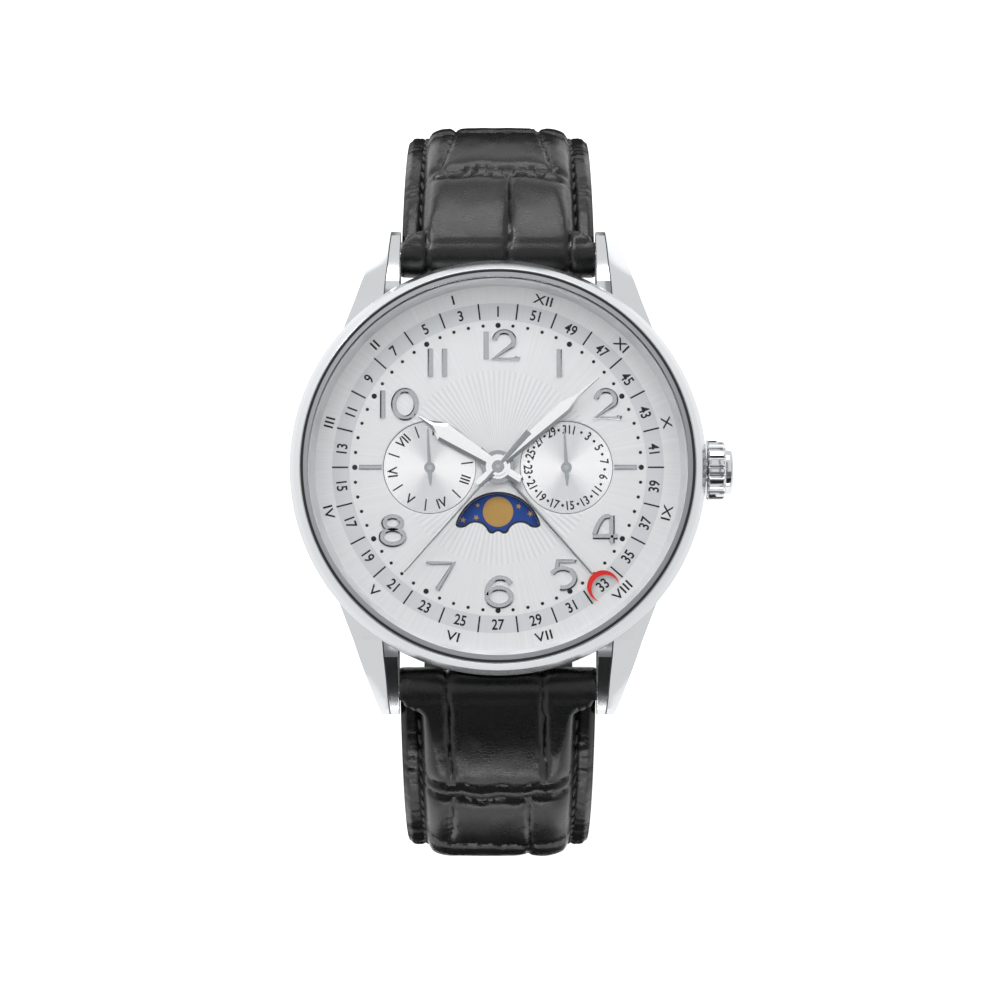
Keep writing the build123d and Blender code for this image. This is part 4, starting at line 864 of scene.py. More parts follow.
# Minute dots, week numbers and months, counted anticlockwise as the week hand runs
minute_ring = 14.45
week_ring = 15.86
month_ring = 17.62
week_numbers = 26               # every second week has one, and a line stands between two of them
marks = [dot(0.27 if n % 5 == 0 else 0.17, minute_ring, 6 * n) for n in range(60)]
for n in range(week_numbers):
    angle = -n * 360 / week_numbers
    marks.append(round_the_ring(str(2 * n + 1), 1.04, week_ring, angle, weight=0.03, stretch=0.84))
    marks.append(tick(15.12, 16.75, 0.17, angle - 180 / week_numbers))
printed(marks, "track_print", dial_top + 0.004)

months = ("I", "II", "III", "IV", "V", "VI", "VII", "VIII", "IX", "X", "XI", "XII")
month_marks = [
    round_the_ring(text, 0.95, month_ring, -15 - 30 * n, weight=0.012, stretch=1.25)
    for n, text in enumerate(months)
]
printed(month_marks, "month_print", dial_top)

# Days in the left subdial, from a little past its top, and dates in the right one
day_ring = 3.78
day_start = 6
date_ring = 3.86
left = (-subdial_offset, 0)
right = (subdial_offset, 0)
day_marks = []
for n, text in enumerate(months[:7]):
    angle = n * 360 / 7 + day_start
    day_marks.append(round_the_ring(text, 0.98, day_ring, angle, left, weight=0.022, stretch=0.9))
    day_marks.append(tick(3.2, 4.4, 0.14, (n + 0.5) * 360 / 7 + day_start, left))
printed(day_marks, "day_print", floor_level)
date_marks = []
for n in range(1, 32):
    angle = n * 360 / 31
    if n % 2:
        date_marks.append(
            round_the_ring(str(n), 0.86, date_ring, angle, right, weight=0.026, stretch=0.8)
        )
    else:
        date_marks.append(dot(0.14, date_ring, angle, right))
printed(date_marks, "date_print", floor_level)


# Applied numerals: bevelled bars along these centre lines, from each digit's middle
def bow(centre, width, height, start, sweep, count=28):
    """Points along an elliptical bow, clockwise from its top."""
    return [
        (centre[0] + width * sin(radians(start + sweep * n / count)),
         centre[1] + height * cos(radians(start + sweep * n / count)))
        for n in range(count + 1)
    ]


one = [(0, 1.23), (0, -1.23)]
two = bow((0, 0.42), 0.86, 0.8, -86, 206, 30) + [(-0.98, -1.22), (1.16, -1.22), (1.2, -1.0)]
four_arm = [
    (0.3, 1.12), (0.0, 1.1), (-0.28, 0.98), (-0.52, 0.7), (-0.74, 0.3), (-0.9, -0.1), (-1.02, -0.48),
]
four_bar = [(-1.2, -0.66), (1.0, -0.66)]
four_stem = [(0.5, 1.22), (0.5, -1.23)]
five_top = [(1.0, 1.28), (0.98, 1.14), (-0.42, 1.14), (-0.5, 0.52)]
five_bow = bow((0.02, -0.36), 1.06, 0.86, -62, 300, 34)[:30]
six_back = bow((0.1, -0.1), 1.16, 1.34, 52, -150, 26)
six_bowl = bow((0, -0.44), 1.06, 0.79, 0, 360, 40)
seven = [(-1.12, 1.1), (-1.12, 1.12), (1.1, 1.12), (-0.36, -1.23)]
eight_top = bow((0, 0.66), 0.78, 0.56, 0, 360, 36)
eight_bowl = bow((0, -0.56), 1.0, 0.67, 0, 360, 40)
nought = bow((0, 0), 1.0, 1.23, 0, 360, 44)
numeral_places = (              # middle of the digit on the dial, and its strokes
    ((-1.2, 12.4), [one]), ((0.62, 12.4), [two]), ((6.2, 10.6), [one]), ((10.9, 6.4), [two]),
    ((10.9, -6.25), [four_arm, four_bar, four_stem]), ((6.5, -10.8), [five_top, five_bow]),
    ((0.12, -12.6), [six_back, six_bowl]), ((-5.7, -10.95), [seven]),
    ((-10.6, -6.4), [eight_top, eight_bowl]),
    ((-11.65, 6.4), [one]), ((-9.4, 6.4), [nought]), ((-6.85, 10.65), [one]), ((-5.42, 10.65), [one]),
)


def bar_profile():
    """The section of a numeral's bars: a flat top between two bevels."""
    data = bpy.data.curves.new("bar_profile", "CURVE")
    spline = data.splines.new("POLY")
    points = ((-0.27, -0.02), (-0.27, 0.1), (-0.13, 0.2), (0.13, 0.2), (0.27, 0.1), (0.27, -0.02))
    spline.points.add(len(points) - 1)
    for point, (x, y) in zip(spline.points, points):
        point.co = (x, y, 0, 1)
    spline.use_cyclic_u = True
    profile = bpy.data.objects.new("bar_profile", data)
    bpy.context.scene.collection.objects.link(profile)
    return profile


def stroke(path, centre, profile):
    """One stroke of a numeral: a bar of that profile along a path on the dial."""
    data = bpy.data.curves.new("stroke", "CURVE")
    data.dimensions = "3D"
    spline = data.splines.new("POLY")
    closed = path[0] == path[-1] or hypot(path[0][0] - path[-1][0], path[0][1] - path[-1][1]) < 0.01
    points = path[:-1] if closed else path
    spline.points.add(len(points) - 1)
    for point, (x, y) in zip(spline.points, points):
        point.co = (x, y, 0, 1)
    spline.use_cyclic_u = closed
    data.bevel_mode = "OBJECT"
    data.bevel_object = profile
    data.use_fill_caps = True
    data.twist_mode = "Z_UP"
    bm = meshed(bpy.data.objects.new("stroke", data))
    bmesh.ops.remove_doubles(bm, verts=bm.verts, dist=1e-4)
    bmesh.ops.translate(bm, vec=(centre[0], centre[1], dial_top), verts=bm.verts)
    return bm


numeral_scale = 1.14
profile = bar_profile()
strokes = [
    stroke([(x * numeral_scale, y * numeral_scale) for x, y in path], centre, profile)
    for centre, paths in numeral_places for path in paths
]
finish_piece(joined(strokes), "applied_numerals", applied_steel, "case", ["dial"], crease=15)
bpy.data.objects.remove(profile)


# Strap: both halves leave the lugs sloping down, bend to hang straight and then curl in below the case
nose_heading = -15.0            # degrees, and below zero it slopes down
first_bend = (19.3, 75)         # radius and turn, the same in both halves
root_half = 9.95                # half widths at the lugs and past the taper
end_half = 9.0
taper_length = 55
end_thickness = 2.4
padding_length = 42


def strap_path(bends, run):
    """Stations of distance, reach, height and heading along the inner face of a strap half."""
    reach, height, heading, distance = bar_reach, bar_height - nose_radius, nose_heading, 0.0
    stations = [(distance, reach, height, heading)]
    for radius, turn in (first_bend,) + bends + ((0, 0),):
        length = radius * radians(abs(turn)) if turn else run
        count = max(2, ceil(length / 0.5))
        for _ in range(count):
            middle = heading - turn / count / 2
            chord = 2 * radius * sin(radians(abs(turn) / count / 2)) if turn else run / count
            reach += chord * cos(radians(middle))
            height += chord * sin(radians(middle))
            heading -= turn / count
            distance += length / count
            stations.append((distance, reach, height, heading))
    return stations


def along(stations, distance):
    """Reach, height and heading at a distance along the path."""
    at = min(max(distance, 0), stations[-1][0])
    low, high = 0, len(stations) - 1
    while high - low > 1:
        middle = (low + high) // 2
        if stations[middle][0] <= at:
            low = middle
        else:
            high = middle
    a, b = stations[low], stations[high]
    t = (at - a[0]) / max(1e-9, b[0] - a[0])
    return tuple(a[i] + (b[i] - a[i]) * t for i in (1, 2, 3))


def lifted(stations, distance, height, end):
    """The point over the inner face at a distance, mirrored to the half's side of the case."""
    reach, level, heading = along(stations, distance)
    turn = radians(heading)
    return end * (reach - height * sin(turn)), level + height * cos(turn)


def strap_half_width(distance):
    """Half the strap's width, tapering from the lugs."""
    return root_half + (end_half - root_half) * min(1, max(0, distance) / taper_length)


def strap_thickness(distance):
    """The thickness over the middle: the padding fades away from the lugs."""
    share = min(1, max(0, distance) / padding_length)
    return end_thickness + (2 * nose_radius - end_thickness) * (1 + cos(radians(180 * share))) / 2


def ease(low, high, value):
    """A smooth step from 0 to 1 between two values."""
    t = min(1, max(0, (value - low) / (high - low)))
    return t * t * (3 - 2 * t)


margin = 2.0                    # flat border outside the padding, which carries the stitching
edge_height = 2.0               # thickness of that border


def pad_height(distance, across, half, flattened):
    """Height of the leather over the inner face at a place, before the embossing.

    flattened is the share of its rise that the padding loses past the lugs.
    """
    rise = (strap_thickness(distance) - edge_height) * (1 - flattened * ease(12, 24, distance))
    inside = half - abs(across)
    start = ease(0.3, 1.5, distance)
    share = min(1.0, max(0.0, (inside - margin * start) / (0.8 + 2.4 * ease(0, 9, distance))))
    shoulder = sqrt(max(0.0, 1 - (1 - share) ** 2.2))
    seam = 0.34 * max(0.0, 1 - abs(inside - margin) / 0.55) * start
    corner = 0.45 * (1 - ease(0, 0.6, inside))
    return edge_height + rise * shoulder - seam - corner


# Embossed scales: rows along each half as start, end and the places of the grooves between scales
upper_rows = (
    (-9.0, 7.2, ((0.7, 1.3), (-7.4, -7.2), (7.4, 7.2))),
    (8.2, 15.6, ((-5.9, -4.4), (5.6, 4.2))),
    (16.4, 24.2, ((-4.4, -4.7), (4.2, 4.5))),
    (24.2, 31.8, ((-0.6, -0.2),)),
    (31.8, 38.9, ((-4.4, -4.8), (3.9, 3.5))),
    (38.9, 45.4, ((-1.0, -0.4),)),
    (45.4, 51.6, ((-4.1, -4.5), (3.4, 3.9))),
    (51.6, 57.6, ((0.6, 0.1),)),
    (57.6, 63.4, ((-4.0, -4.3), (4.2, 3.7))),
    (63.4, 95, ((-3.6, -3.4), (3.4, 3.7))),
)
lower_rows = (
    (-9.0, 8.3, ((-5.5, -4.7), (4.2, 4.9))),
    (9.7, 17.6, ((3.1, 3.4), (-4.6, -5.0))),
    (18.2, 25.9, ((3.4, 3.1),)),
    (25.9, 33.4, ((-4.4, -4.8), (4.5, 4.1))),
    (33.4, 40.5, ((0.5, 0.9),)),
    (40.5, 47.3, ((-3.9, -4.4), (3.4, 3.9))),
    (47.3, 53.8, ((-0.4, -1.0),)),
    (53.8, 60.2, ((-4.2, -3.8), (4.0, 4.4))),
    (60.2, 66.5, ((0.8, 0.2),)),
    (66.5, 72.8, ((-3.8, -4.1), (3.7, 3.3))),
    (72.8, 79.0, ((-0.3, 0.4),)),
    (79.0, 130, ((-3.9, -3.6), (3.5, 3.8))),
)


def emboss(distance, across, half, rows, seed):
    """How far the embossing sinks or lifts the leather at a place."""
    wave = 0.45 * noise.noise(Vector((across * 0.33, distance * 0.1, seed)))
    place = distance + wave
    near = 9.0                  # distance to the nearest groove, far from any at first
    for start, end, grooves in rows:
        if place < start - 2.5 or place > end + 2.5:
            continue
        sag = 0.035 * across ** 2 / 4
        near = min(near, abs(place - end + sag))
        if start > 0:
            near = min(near, abs(place - start + sag))
        if start - 0.2 <= place <= end + 0.2:
            share = (place - start) / (end - start)
            for first, last in grooves:
                line = first + (last - first) * share
                line += 0.18 * noise.noise(Vector((distance * 0.6, first, seed)))
                near = min(near, abs(across - line))
    inside = half - abs(across)
    over_pad = ease(margin - 0.2, margin + 0.8, inside)
    sharp = exp(-((near / 0.24) ** 2))
    soft = exp(-((near / 0.85) ** 2))
    rough = noise.noise(Vector((across * 2.6, distance * 2.6, seed)))
    broad = noise.noise(Vector((across * 0.5, distance * 0.5, seed + 9)))
    groove = 0.30 * sharp + 0.20 * soft - 0.14 * soft * rough
    wrinkle = 0.10 * noise.noise(Vector((across * 0.8, distance * 1.7, seed + 3)))
    wrinkle += 0.05 * noise.noise(Vector((across * 2.5, distance * 4.5, seed + 5)))
    border = 0.35 * groove - wrinkle
    return -(over_pad * (groove - 0.05 * broad) + (1 - over_pad) * border) * ease(0, 0.5, inside)


nose_back = 0.595               # straight run from the path's start back to the nose's round
nose_turn = pi * nose_radius
nose_start = -(nose_back + nose_turn)
leather_seat = 0.56             # the leather's inner side over the inner face, just in the lining
nose_inside = 0.85              # radius of the leather's inner side round the bar
highest_lift = 0.12             # of the embossing over the padding
upper_flattening = 0.35         # share of its padding's rise that the short half loses past the lugs


def strap_point(stations, s, across, half, rows, seed, end, level):
    """A point of the leather: level 1 on its outer face, 0 on its inner side."""
    # The lift ends near the nose, so that the strap clears the case band when it swings
    sink = min(emboss(s, across, half, rows, seed), highest_lift * ease(2, 8, s))
    if s >= 0:
        if level:
            height = pad_height(s, across, half, upper_flattening if end > 0 else 0.0) + sink
        else:
            height = leather_seat
        y, z = lifted(stations, s, height, end)
        return across, y, z
    back = -s
    corner = 0.12 * (1 - ease(0, 0.3, half - abs(across)))
    radius = nose_radius + sink * 0.8 - corner if level else nose_inside
    heading = radians(nose_heading)
    bar = nose_radius * cos(heading)
    if back < nose_back:
        local = (-back if level else -nose_back, bar + radius)
    else:
        turn = min(pi, (back - nose_back) / nose_radius)
        local = (-nose_back - radius * sin(turn), bar + radius * cos(turn))
    reach = bar_reach + local[0] * cos(heading) - local[1] * sin(heading)
    height = bar_height - nose_radius + local[0] * sin(heading) + local[1] * cos(heading)
    return across, end * reach, height


upper_path = strap_path(((26.0, 30), (17.0, 60)), 16.0)
lower_path = strap_path(((60.0, 20), (23.0, 74), (330.0, -6)), 11.5)
upper_length = upper_path[-1][0]
lower_length = lower_path[-1][0]
fold_radius = 1.2               # the short half's end round the buckle's bar
upper_span = upper_length + pi / 2 * fold_radius
tail_length = 11.0


def tail_half_width(distance):
    """Half width of the long half, drawn in to its point over the tail."""
    half = strap_half_width(distance)
    past = distance - (lower_length - tail_length)
    if past <= 0:
        return half
    radius = (tail_length ** 2 + half ** 2) / (2 * half)
    return max(0.02, half - radius + sqrt(max(0.0, radius ** 2 - min(past, tail_length) ** 2)))


def swept(columns, rows_along, place):
    """A closed slab through the points place(u, v, level).

    u runs from -1 to 1 across, v from 0 to 1 along, and level is 0 or 1. The narrow sides
    take the second material.
    """
    bm = bmesh.new()
    bmesh.ops.create_grid(bm, x_segments=columns, y_segments=rows_along, size=1)
    top = bmesh.ops.extrude_face_region(bm, geom=bm.faces[:])["geom"]
    raised = {v for v in top if isinstance(v, bmesh.types.BMVert)}
    for face in bm.faces:
        levels = sum(v in raised for v in face.verts)
        face.material_index = 1 if 0 < levels < len(face.verts) else 0
    for v in bm.verts:
        v.co = Vector(place(v.co.x, (v.co.y + 1) / 2, int(v in raised)))
    bmesh.ops.recalc_face_normals(bm, faces=bm.faces)
    return bm


def upper_point(u, v, level):
    """A point of the short half's leather, which ends in a fold round the buckle's bar."""
    s = nose_start + v * (upper_span - nose_start)
    half = strap_half_width(s)
    if s <= upper_length:
        return strap_point(upper_path, s, u * half, half, upper_rows, 3.0, 1, level)
    turn = min(pi / 2, (s - upper_length) / fold_radius)
    reach, height, heading = upper_path[-1][1:]
    onward = fold_radius * sin(turn)
    up = fold_radius + (1 if level else -1) * fold_radius * cos(turn)
    up += emboss(upper_length, u * half, half, upper_rows, 3.0) * cos(turn) * level
    angle = radians(heading)
    return (
        u * half, reach + onward * cos(angle) - up * sin(angle),
        height + onward * sin(angle) + up * cos(angle),
    )


def lower_point(u, v, level):
    """A point of the long half's leather."""
    s = nose_start + v * (lower_length - nose_start)
    half = tail_half_width(s)
    return strap_point(lower_path, s, u * half, half, lower_rows, 11.0, -1, level)


def end_frame(path, end):
    """The frame at a half's far end: X across, Y onward, Z to the outer face."""
    _, reach, height, heading = path[-1]
    angle = radians(heading)
    return Matrix((
        (1, 0, 0, 0),
        (0, end * cos(angle), -end * sin(angle), end * reach),
        (0, sin(angle), cos(angle), height),
        (0, 0, 0, 1),
    ))


hole_radius = 0.85
first_hole = 13.0               # from the tail's tip
hole_pitch = 5.6
slot_size = (2.6, 5.0)
cutter_depth = 6
half_deep = Matrix.Translation((0, 0, end_thickness / 2))


def hole_cutters():
    """Six round cutters through the tail, each square to the strap's path."""
    cutters = []
    for hole in range(6):
        reach, height, heading = along(lower_path, lower_length - first_hole - hole_pitch * hole)
        angle = radians(heading)
        stand = Matrix((
            (1, 0, 0, 0),
            (0, -cos(angle), sin(angle), -reach),
            (0, sin(angle), cos(angle), height),
            (0, 0, 0, 1),
        ))
        bm = bmesh.new()
        bmesh.ops.create_cone(
            bm, cap_ends=True, segments=40, radius1=hole_radius, radius2=hole_radius, depth=cutter_depth,
            matrix=stand @ half_deep,
        )
        cutters.append(bm)
    return cutters


def slot_cutter():
    """The slot in the short half's end, where the tang swings, with rounded ends."""
    bm = bmesh.new()
    size = Matrix.Diagonal((*slot_size, cutter_depth, 1))
    bmesh.ops.create_cube(bm, size=1, matrix=end_frame(upper_path, 1) @ half_deep @ size)
    upright = [e for e in bm.edges if abs((e.verts[0].co - e.verts[1].co).length - cutter_depth) < 0.01]
    bmesh.ops.bevel(bm, geom=upright, offset=0.5, affect="EDGES", segments=4, profile=0.5, material=-1)
    return bm


def cut_strap(piece, cutters):
    """Cuts holes out of a strap piece and keeps its shading."""
    carved(piece, joined(cutters))
    piece.data.set_sharp_from_angle(angle=radians(50))


short_half = finish_piece(
    swept(84, 290, upper_point), "short_strap", strap_leather, "strap_upper", ["upper_strap"], crease=50
)
long_half = finish_piece(
    swept(84, 450, lower_point), "long_strap", strap_leather, "strap_lower", ["lower_strap"], crease=50
)
for piece in (short_half, long_half):
    piece.data.materials.append(edge_paint)
cut_strap(short_half, [slot_cutter()])
cut_strap(long_half, hole_cutters())


lining_thickness = 0.57
lining_setback = 0.12           # how far the lining's edges stay inside the leather's


def lining_place(path, end, width_at):
    """How a lining's points lie on a strap half's path."""
    def place(u, v, level):
        s = v * path[-1][0]
        half = max(0.02, width_at(s) - lining_setback)
        # Both ends thin out to the lining's middle
        full = min(1.0, min(v, 1 - v) * 80)
        height = (lining_thickness if level else 0.0) * full + (1 - full) * 0.28
        y, z = lifted(path, s, height, end)
        return u * half, y, z
    return place


short_lining = finish_piece(
    swept(16, 120, lining_place(upper_path, 1, strap_half_width)),
    "short_lining", lining_calf, "strap_upper", ["upper_lining"], crease=50,
)
long_lining = finish_piece(
    swept(16, 160, lining_place(lower_path, -1, tail_half_width)),
    "long_lining", lining_calf, "strap_lower", ["lower_lining"], crease=50,
)
cut_strap(short_lining, [slot_cutter()])
cut_strap(long_lining, hole_cutters())

stitch_pitch = 1.55
first_stitch = 3.1
stitch_size = (0.84, 0.27, 0.24)        # half of its length, width and height


def stitches(point, length, width_at, name, body):
    """Two columns of thick saddle stitches, sunk in the groove beside the padding."""
    parts = []
    for side in (-1, 1):
        for n in range(int((length - 7.0) / stitch_pitch)):
            s = first_stitch + n * stitch_pitch
            half = width_at(s)
            if half < margin + 1.4:
                continue
            share = side * (half - margin) / half
            middle = (s - nose_start) / (length - nose_start)
            step = 0.5 / (length - nose_start)
            before = Vector(point(share, middle - step, 1))
            after = Vector(point(share, middle + step, 1))
            onward = (after - before).normalized()
            outward = Vector((1, 0, 0)).cross(onward)
            if outward.dot(Vector(point(share, middle, 1)) - Vector(point(share, middle, 0))) < 0:
                outward = -outward
            across = onward.cross(outward)
            turned = Matrix((onward, across, outward)).transposed().to_4x4()
            lean = Matrix.Rotation(radians(side * 16 + 5 * noise.noise(Vector((n, side, 2)))), 4, "Z")
            lean @= Matrix.Rotation(radians(-9), 4, "Y")
            centre = (before + after) / 2 + outward * 0.10
            bm = bmesh.new()
            bmesh.ops.create_uvsphere(
                bm, u_segments=10, v_segments=6, radius=1,
                matrix=Matrix.Translation(centre) @ turned @ lean @ Matrix.Diagonal((*stitch_size, 1)),
            )
            parts.append(bm)
    finish_piece(joined(parts), name, waxed_thread, body, crease=180)


stitches(upper_point, upper_span, strap_half_width, "short_stitches", "strap_upper")
stitches(lower_point, lower_length, tail_half_width, "long_stitches", "strap_lower")


def rounded_rectangle(width, height, radius, centre):
    """The outline of a rectangle with round corners."""
    points = []
    for turn, sx, sy in ((0, 1, 1), (90, 1, -1), (180, -1, -1), (270, -1, 1)):
        corner = (centre[0] + sx * (width / 2 - radius), centre[1] + sy * (height / 2 - radius))
        points += circle(radius, corner, 8, turn, 90)
    return points


keeper_width = 3.8              # along the strap
keeper_leather = 0.9


def keeper(name, body, node, side_gap, layer_gap, from_end):
    """A leather loop round both layers of the strap, with eased edges."""
    width = 2 * end_half + 2 * side_gap
    height = 2 * end_thickness + 0.3 + layer_gap
    middle = (0, height / 2 - layer_gap)
    outline = rounded_rectangle(
        width + 2 * keeper_leather, height + 2 * keeper_leather, keeper_leather, middle,
    )
    hole = rounded_rectangle(width, height, 0.25, middle)
    bm = flat([outline, hole], 0, keeper_width, 0.16)
    turn = Matrix.Rotation(radians(90), 4, "X")
    place = end_frame(upper_path, 1) @ Matrix.Translation((0, -(from_end + keeper_width), 0)) @ turn
    bmesh.ops.transform(bm, matrix=place, verts=bm.verts)
    loop = finish_piece(bm, name, strap_leather, body, [node], crease=40)


keeper("keeper_fixed", "strap_upper", "fixed_keeper", 0, 0, 4.0)
keeper("keeper_loose", "keeper", "loose_keeper", 0.3, 0.3, 8.3)


def eased(node, width):
    """Breaks the sharp edges of a construction piece."""
    bevel = nodes[node].modifiers.new("edge", "BEVEL")
    bevel.width = width * mm
    bevel.segments = 2
    bevel.limit_method = "ANGLE"
    bevel.angle_limit = radians(35)
    bevel.harden_normals = True


def dressed(material, *names):
    """Gives construction pieces their finish."""
    for name in names:
        data = nodes[name].data
        data.materials.clear()
        data.materials.append(material)
        data.set_sharp_from_angle(angle=radians(30))


# Case fittings and the movement inside keep the construction's own solids
dressed(turned_steel, "upper_spring_bar", "lower_spring_bar", "crown_tube", "stem", "clutch_pinion")
dressed(turned_steel, "bridge_screws", "quartz_can", "rotor", "stator", "battery_clip")
dressed(black_rubber, "crown_gasket")
dressed(cell_steel, "battery")
dressed(gilt_brass, "main_plate", "calendar_plate", "train_bridge", "third_wheel")
dressed(gilt_brass, "centre_wheel", "minute_wheel", "hour_wheel", "week_wheel")
dressed(turned_steel, "seconds_wheel", "day_star", "date_star")
dressed(green_board, "circuit_board")
dressed(wound_copper, "coil")
dressed(white_acetal, "movement_holder")
dressed(applied_steel, "hour_markers")
dressed(needle_steel, "seconds_hand", "week_hand", "day_hand", "date_hand")


hand_bevel = 0.34               # width of a hand's bevels where it is broad enough for them


def cut_hand(stations, bottom, thickness, turn, hub, bore):
    """A hand with a flat top between two bevels, and its hub; stations list half width and reach."""
    edge = bottom + 0.3 * thickness
    top = bottom + thickness
    bm = bmesh.new()
    rings = []
    for half, reach in stations:
        bevel = min(hand_bevel, 0.85 * half)
        level = edge + (top - edge) * bevel / hand_bevel
        corners = (
            (-half, bottom), (half, bottom), (half, edge),
            (half - bevel, level), (bevel - half, level), (-half, edge),
        )
        ring = [bm.verts.new((x, reach, z)) for x, z in corners]
        rings.append([bm.edges.new((a, b)) for a, b in zip(ring, ring[1:] + ring[:1])])
    for near, far in zip(rings, rings[1:]):
        bmesh.ops.bridge_loops(bm, edges=near + far)
    bmesh.ops.edgeloop_fill(bm, edges=rings[0])
    bmesh.ops.edgeloop_fill(bm, edges=rings[-1])
    bmesh.ops.recalc_face_normals(bm, faces=bm.faces)
    hub_top = top + 0.01
    collar = spun(rounded([(bore, bottom), (hub, bottom), (hub, hub_top), (bore, hub_top)], 0.03), 64)
    whole = joined([bm, collar])
    turned = Matrix.Rotation(radians(-turn), 3, "Z")
    bmesh.ops.rotate(whole, cent=(0, 0, 0), matrix=turned, verts=whole.verts)
    return whole


hour_stations = (
    (0.25, -2.85), (0.5, -2.6), (0.5, -0.6), (0.52, 0.6), (0.98, 6.6), (0.24, 7.8), (0.08, 9.5),
)
minute_stations = (
    (0.22, -2.8), (0.45, -2.58), (0.42, -0.6), (0.42, 0.6), (0.72, 9.1), (0.2, 10.75), (0.06, 13.6),
)
hour_hand = cut_hand(hour_stations, bottom=7.02, thickness=0.16, turn=302.5, hub=1.25, bore=0.9)
finish_piece(hour_hand, "hour_hand_cut", hand_steel, "hours", ["hour_hand"], crease=10)
minute_hand = cut_hand(minute_stations, bottom=7.30, thickness=0.14, turn=48.4, hub=0.95, bore=0.6)
finish_piece(minute_hand, "minute_hand_cut", hand_steel, "minutes", ["minute_hand"], crease=10)


def red_crescent(centre, radius, inner_radius, shift, bottom, top, turn):
    """The week hand's crescent: the band between a disc and a smaller one moved outwards."""
    meeting = (radius ** 2 - inner_radius ** 2 + shift ** 2) / (2 * shift)
    side = sqrt(radius ** 2 - meeting ** 2)
    bm = bmesh.new()
    chains = []
    for middle in (0, shift):
        start = bm.verts.new((side, centre + meeting, bottom))
        sweep = 2 * pi - 2 * atan2(side, meeting - middle)
        before = set(bm.edges)
        bmesh.ops.spin(
            bm, geom=[start], cent=(0, centre + middle, 0), axis=(0, 0, -1), angle=sweep,
            steps=56, use_merge=False,
        )
        chains.append([edge for edge in bm.edges if edge not in before])
    bmesh.ops.bridge_loops(bm, edges=chains[0] + chains[1])
    bmesh.ops.remove_doubles(bm, verts=bm.verts, dist=0.001)
    band = bmesh.ops.extrude_face_region(bm, geom=bm.faces[:])["geom"]
    raised = [item for item in band if isinstance(item, bmesh.types.BMVert)]
    bmesh.ops.translate(bm, vec=(0, 0, top - bottom), verts=raised)
    bmesh.ops.recalc_face_normals(bm, faces=bm.faces)
    bmesh.ops.rotate(bm, cent=(0, 0, 0), matrix=Matrix.Rotation(radians(-turn), 3, "Z"), verts=bm.verts)
    return bm


crescent = red_crescent(
    centre=16.0, radius=1.6, inner_radius=1.42, shift=0.37, bottom=6.82, top=6.92, turn=138.7,
)
finish_piece(crescent, "week_hand_crescent", red_lacquer, "weeks", ["week_hand_tip"], crease=30)
dressed(polished_steel, "buckle_frame", "buckle_tang", "buckle_spring_bar")
eased("buckle_frame", 0.12)
eased("buckle_tang", 0.12)
eased("hour_markers", 0.03)


# Studio: a pale floor, two softboxes and a small lamp, and cards that only reflections see
def panel(name, width, height, place, strength):
    """A soft white rectangular lamp that looks at the middle of the watch."""
    data = bpy.data.lights.new(name, "AREA")
    data.shape = "RECTANGLE"
    data.size = width * mm
    data.size_y = height * mm
    data.energy = strength
    lamp = bpy.data.objects.new(name, data)
    lamp.location = Vector(place) * mm
    toward = (Vector((0, 0, 0)) - Vector(place)).normalized()
    lamp.rotation_euler = toward.to_track_quat("-Z", "Y").to_euler()
    bpy.context.scene.collection.objects.link(lamp)


def plain(name, colour, roughness):
    """A plain backdrop surface with a slight unevenness."""
    return dielectric(name, colour, roughness, grain_width=30, bump=0.0, shade=0.96)


def seen_rays(tree):
    """1 for rays from the camera, reflections and glass, and 0 for the light on surfaces."""
    rays = add(tree, "ShaderNodeLightPath")
    seen = add(
        tree, "ShaderNodeMath", [(0, rays.outputs["Is Camera Ray"]), (1, rays.outputs["Is Glossy Ray"])],
        operation="ADD",
    )
    seen = add(
        tree, "ShaderNodeMath", [(0, seen.outputs[0]), (1, rays.outputs["Is Transmission Ray"])],
        operation="ADD", use_clamp=True,
    )
    return seen.outputs[0]


paper_glow = 0.55               # brings the paper up to white beside what the lamps give it
floor_size = 900
floor_height = -56.6            # a hair under the strap's lowest point


def white_paper():
    """Matt white paper that shows white to the camera and in reflections, and keeps the shadow."""
    material = plain("studio_paper", "F4F4F4", 0.8)
    tree = material.node_tree
    shader = tree.nodes["Principled BSDF"]
    shader.inputs["Emission Color"].default_value = (1, 1, 1, 1)
    lift = add(tree, "ShaderNodeMath", [(0, seen_rays(tree))], operation="MULTIPLY")
    lift.inputs[1].default_value = paper_glow
    tree.links.new(lift.outputs[0], shader.inputs["Emission Strength"])
    return material


def backdrop(bm, name, surface):
    """Makes a piece of the studio of a mesh in millimetres."""
    bmesh.ops.scale(bm, vec=(mm, mm, mm), verts=bm.verts)
    mesh = bpy.data.meshes.new(name)
    bm.to_mesh(mesh)
    bm.free()
    mesh.materials.append(surface)
    piece = bpy.data.objects.new(name, mesh)
    bpy.context.scene.collection.objects.link(piece)
    return piece


floor_bm = bmesh.new()
bmesh.ops.create_grid(floor_bm, x_segments=2, y_segments=2, size=floor_size)
bmesh.ops.translate(floor_bm, vec=(0, 0, floor_height), verts=floor_bm.verts)
studio_floor = backdrop(floor_bm, "studio_floor", white_paper())


def card(name, width, height, place, tilt, felt):
    """A card that only reflections see: it draws a darker area or line in the polished steel."""
    bm = bmesh.new()
    bmesh.ops.create_grid(bm, x_segments=1, y_segments=1, size=0.5)
    bmesh.ops.scale(bm, vec=(width, height, 1), verts=bm.verts)
    bmesh.ops.rotate(bm, cent=(0, 0, 0), matrix=Matrix.Rotation(radians(tilt), 3, "X"), verts=bm.verts)
    bmesh.ops.translate(bm, vec=place, verts=bm.verts)
    piece = backdrop(bm, name, felt)
    piece.visible_camera = piece.visible_shadow = piece.visible_diffuse = False


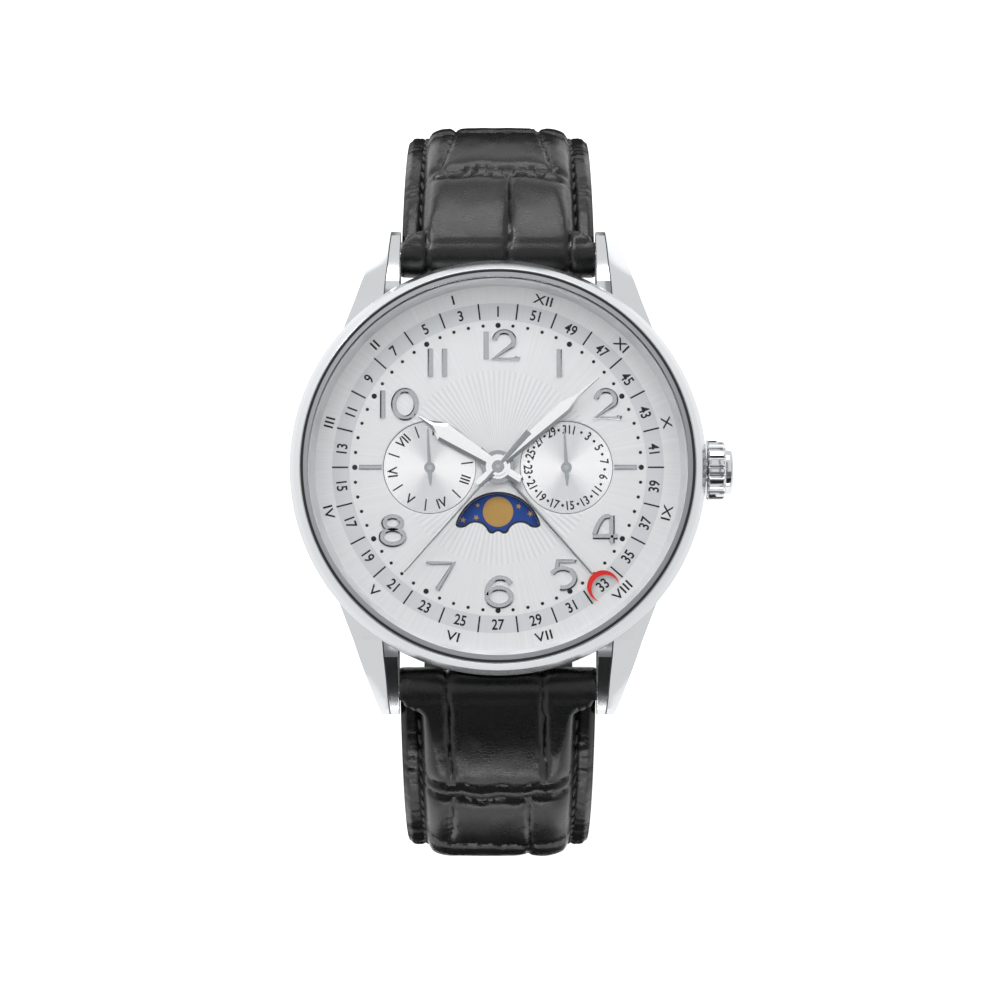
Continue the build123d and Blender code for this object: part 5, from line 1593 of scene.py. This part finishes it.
# Cards round the camera, and two on the ground beside the strap, so that the polished steel
# doesn't mirror white all over
dark_felt = plain("dark_felt", "0C0C0D", 0.9)
grey_felt = plain("grey_felt", "A0A3A6", 0.9)
mid_felt = plain("mid_felt", "7C7F82", 0.9)
card("front_card", 1000, 370, (0, -330, 620), 28, mid_felt)
card("low_card", 1000, 430, (0, -690, 420), 28, dark_felt)
card("right_card", 300, 700, (640, 0, 460), 0, dark_felt)
card("left_strip", 70, 560, (-150, 120, 640), 0, grey_felt)
card("right_strip", 70, 560, (150, 120, 640), 0, grey_felt)
card("far_floor_card", 60, 102, (0, 99, -56), 0, dark_felt)
card("near_floor_card", 60, 102, (0, -99, -56), 0, dark_felt)

panel("key_panel", 560, 260, (0, 560, 400), 1.9)
panel("low_panel", 560, 90, (0, -680, 170), 1.1)
panel("left_lamp", 110, 110, (-420, 420, 430), 1.3)

# Even room light on the watch, and plain white where the camera, metal and glass see the room
room_light = 0.66
world = bpy.data.worlds.new("studio")
bpy.context.scene.world = world
world.use_nodes = True
tree = world.node_tree
room = tree.nodes["Background"]
room.inputs["Strength"].default_value = room_light
room.inputs["Color"].default_value = (1, 1, 1, 1)
paper = add(tree, "ShaderNodeBackground", Color=(1, 1, 1, 1), Strength=1.0)
both = add(
    tree, "ShaderNodeMixShader", [(0, seen_rays(tree)), (1, room.outputs[0]), (2, paper.outputs[0])],
)
tree.links.new(both.outputs[0], tree.nodes["World Output"].inputs["Surface"])

# Camera: nearly straight above, a little from the strap's lower side
camera_elevation = 85
camera_distance = 280
camera_data = bpy.data.cameras.new("camera")
camera_data.lens = 101
camera_data.sensor_width = 36
camera_data.clip_end = 10
camera = bpy.data.objects.new("camera", camera_data)
target = Vector((0.2, -3.55, 9.3))
upwards = radians(camera_elevation)
from_target = Vector((0, -cos(upwards), sin(upwards))) * camera_distance
camera.location = (target + from_target) * mm
camera.rotation_euler = (-from_target).to_track_quat("-Z", "Y").to_euler()
bpy.context.scene.collection.objects.link(camera)
bpy.context.scene.camera = camera
bpy.context.scene.view_settings.view_transform = "Standard"
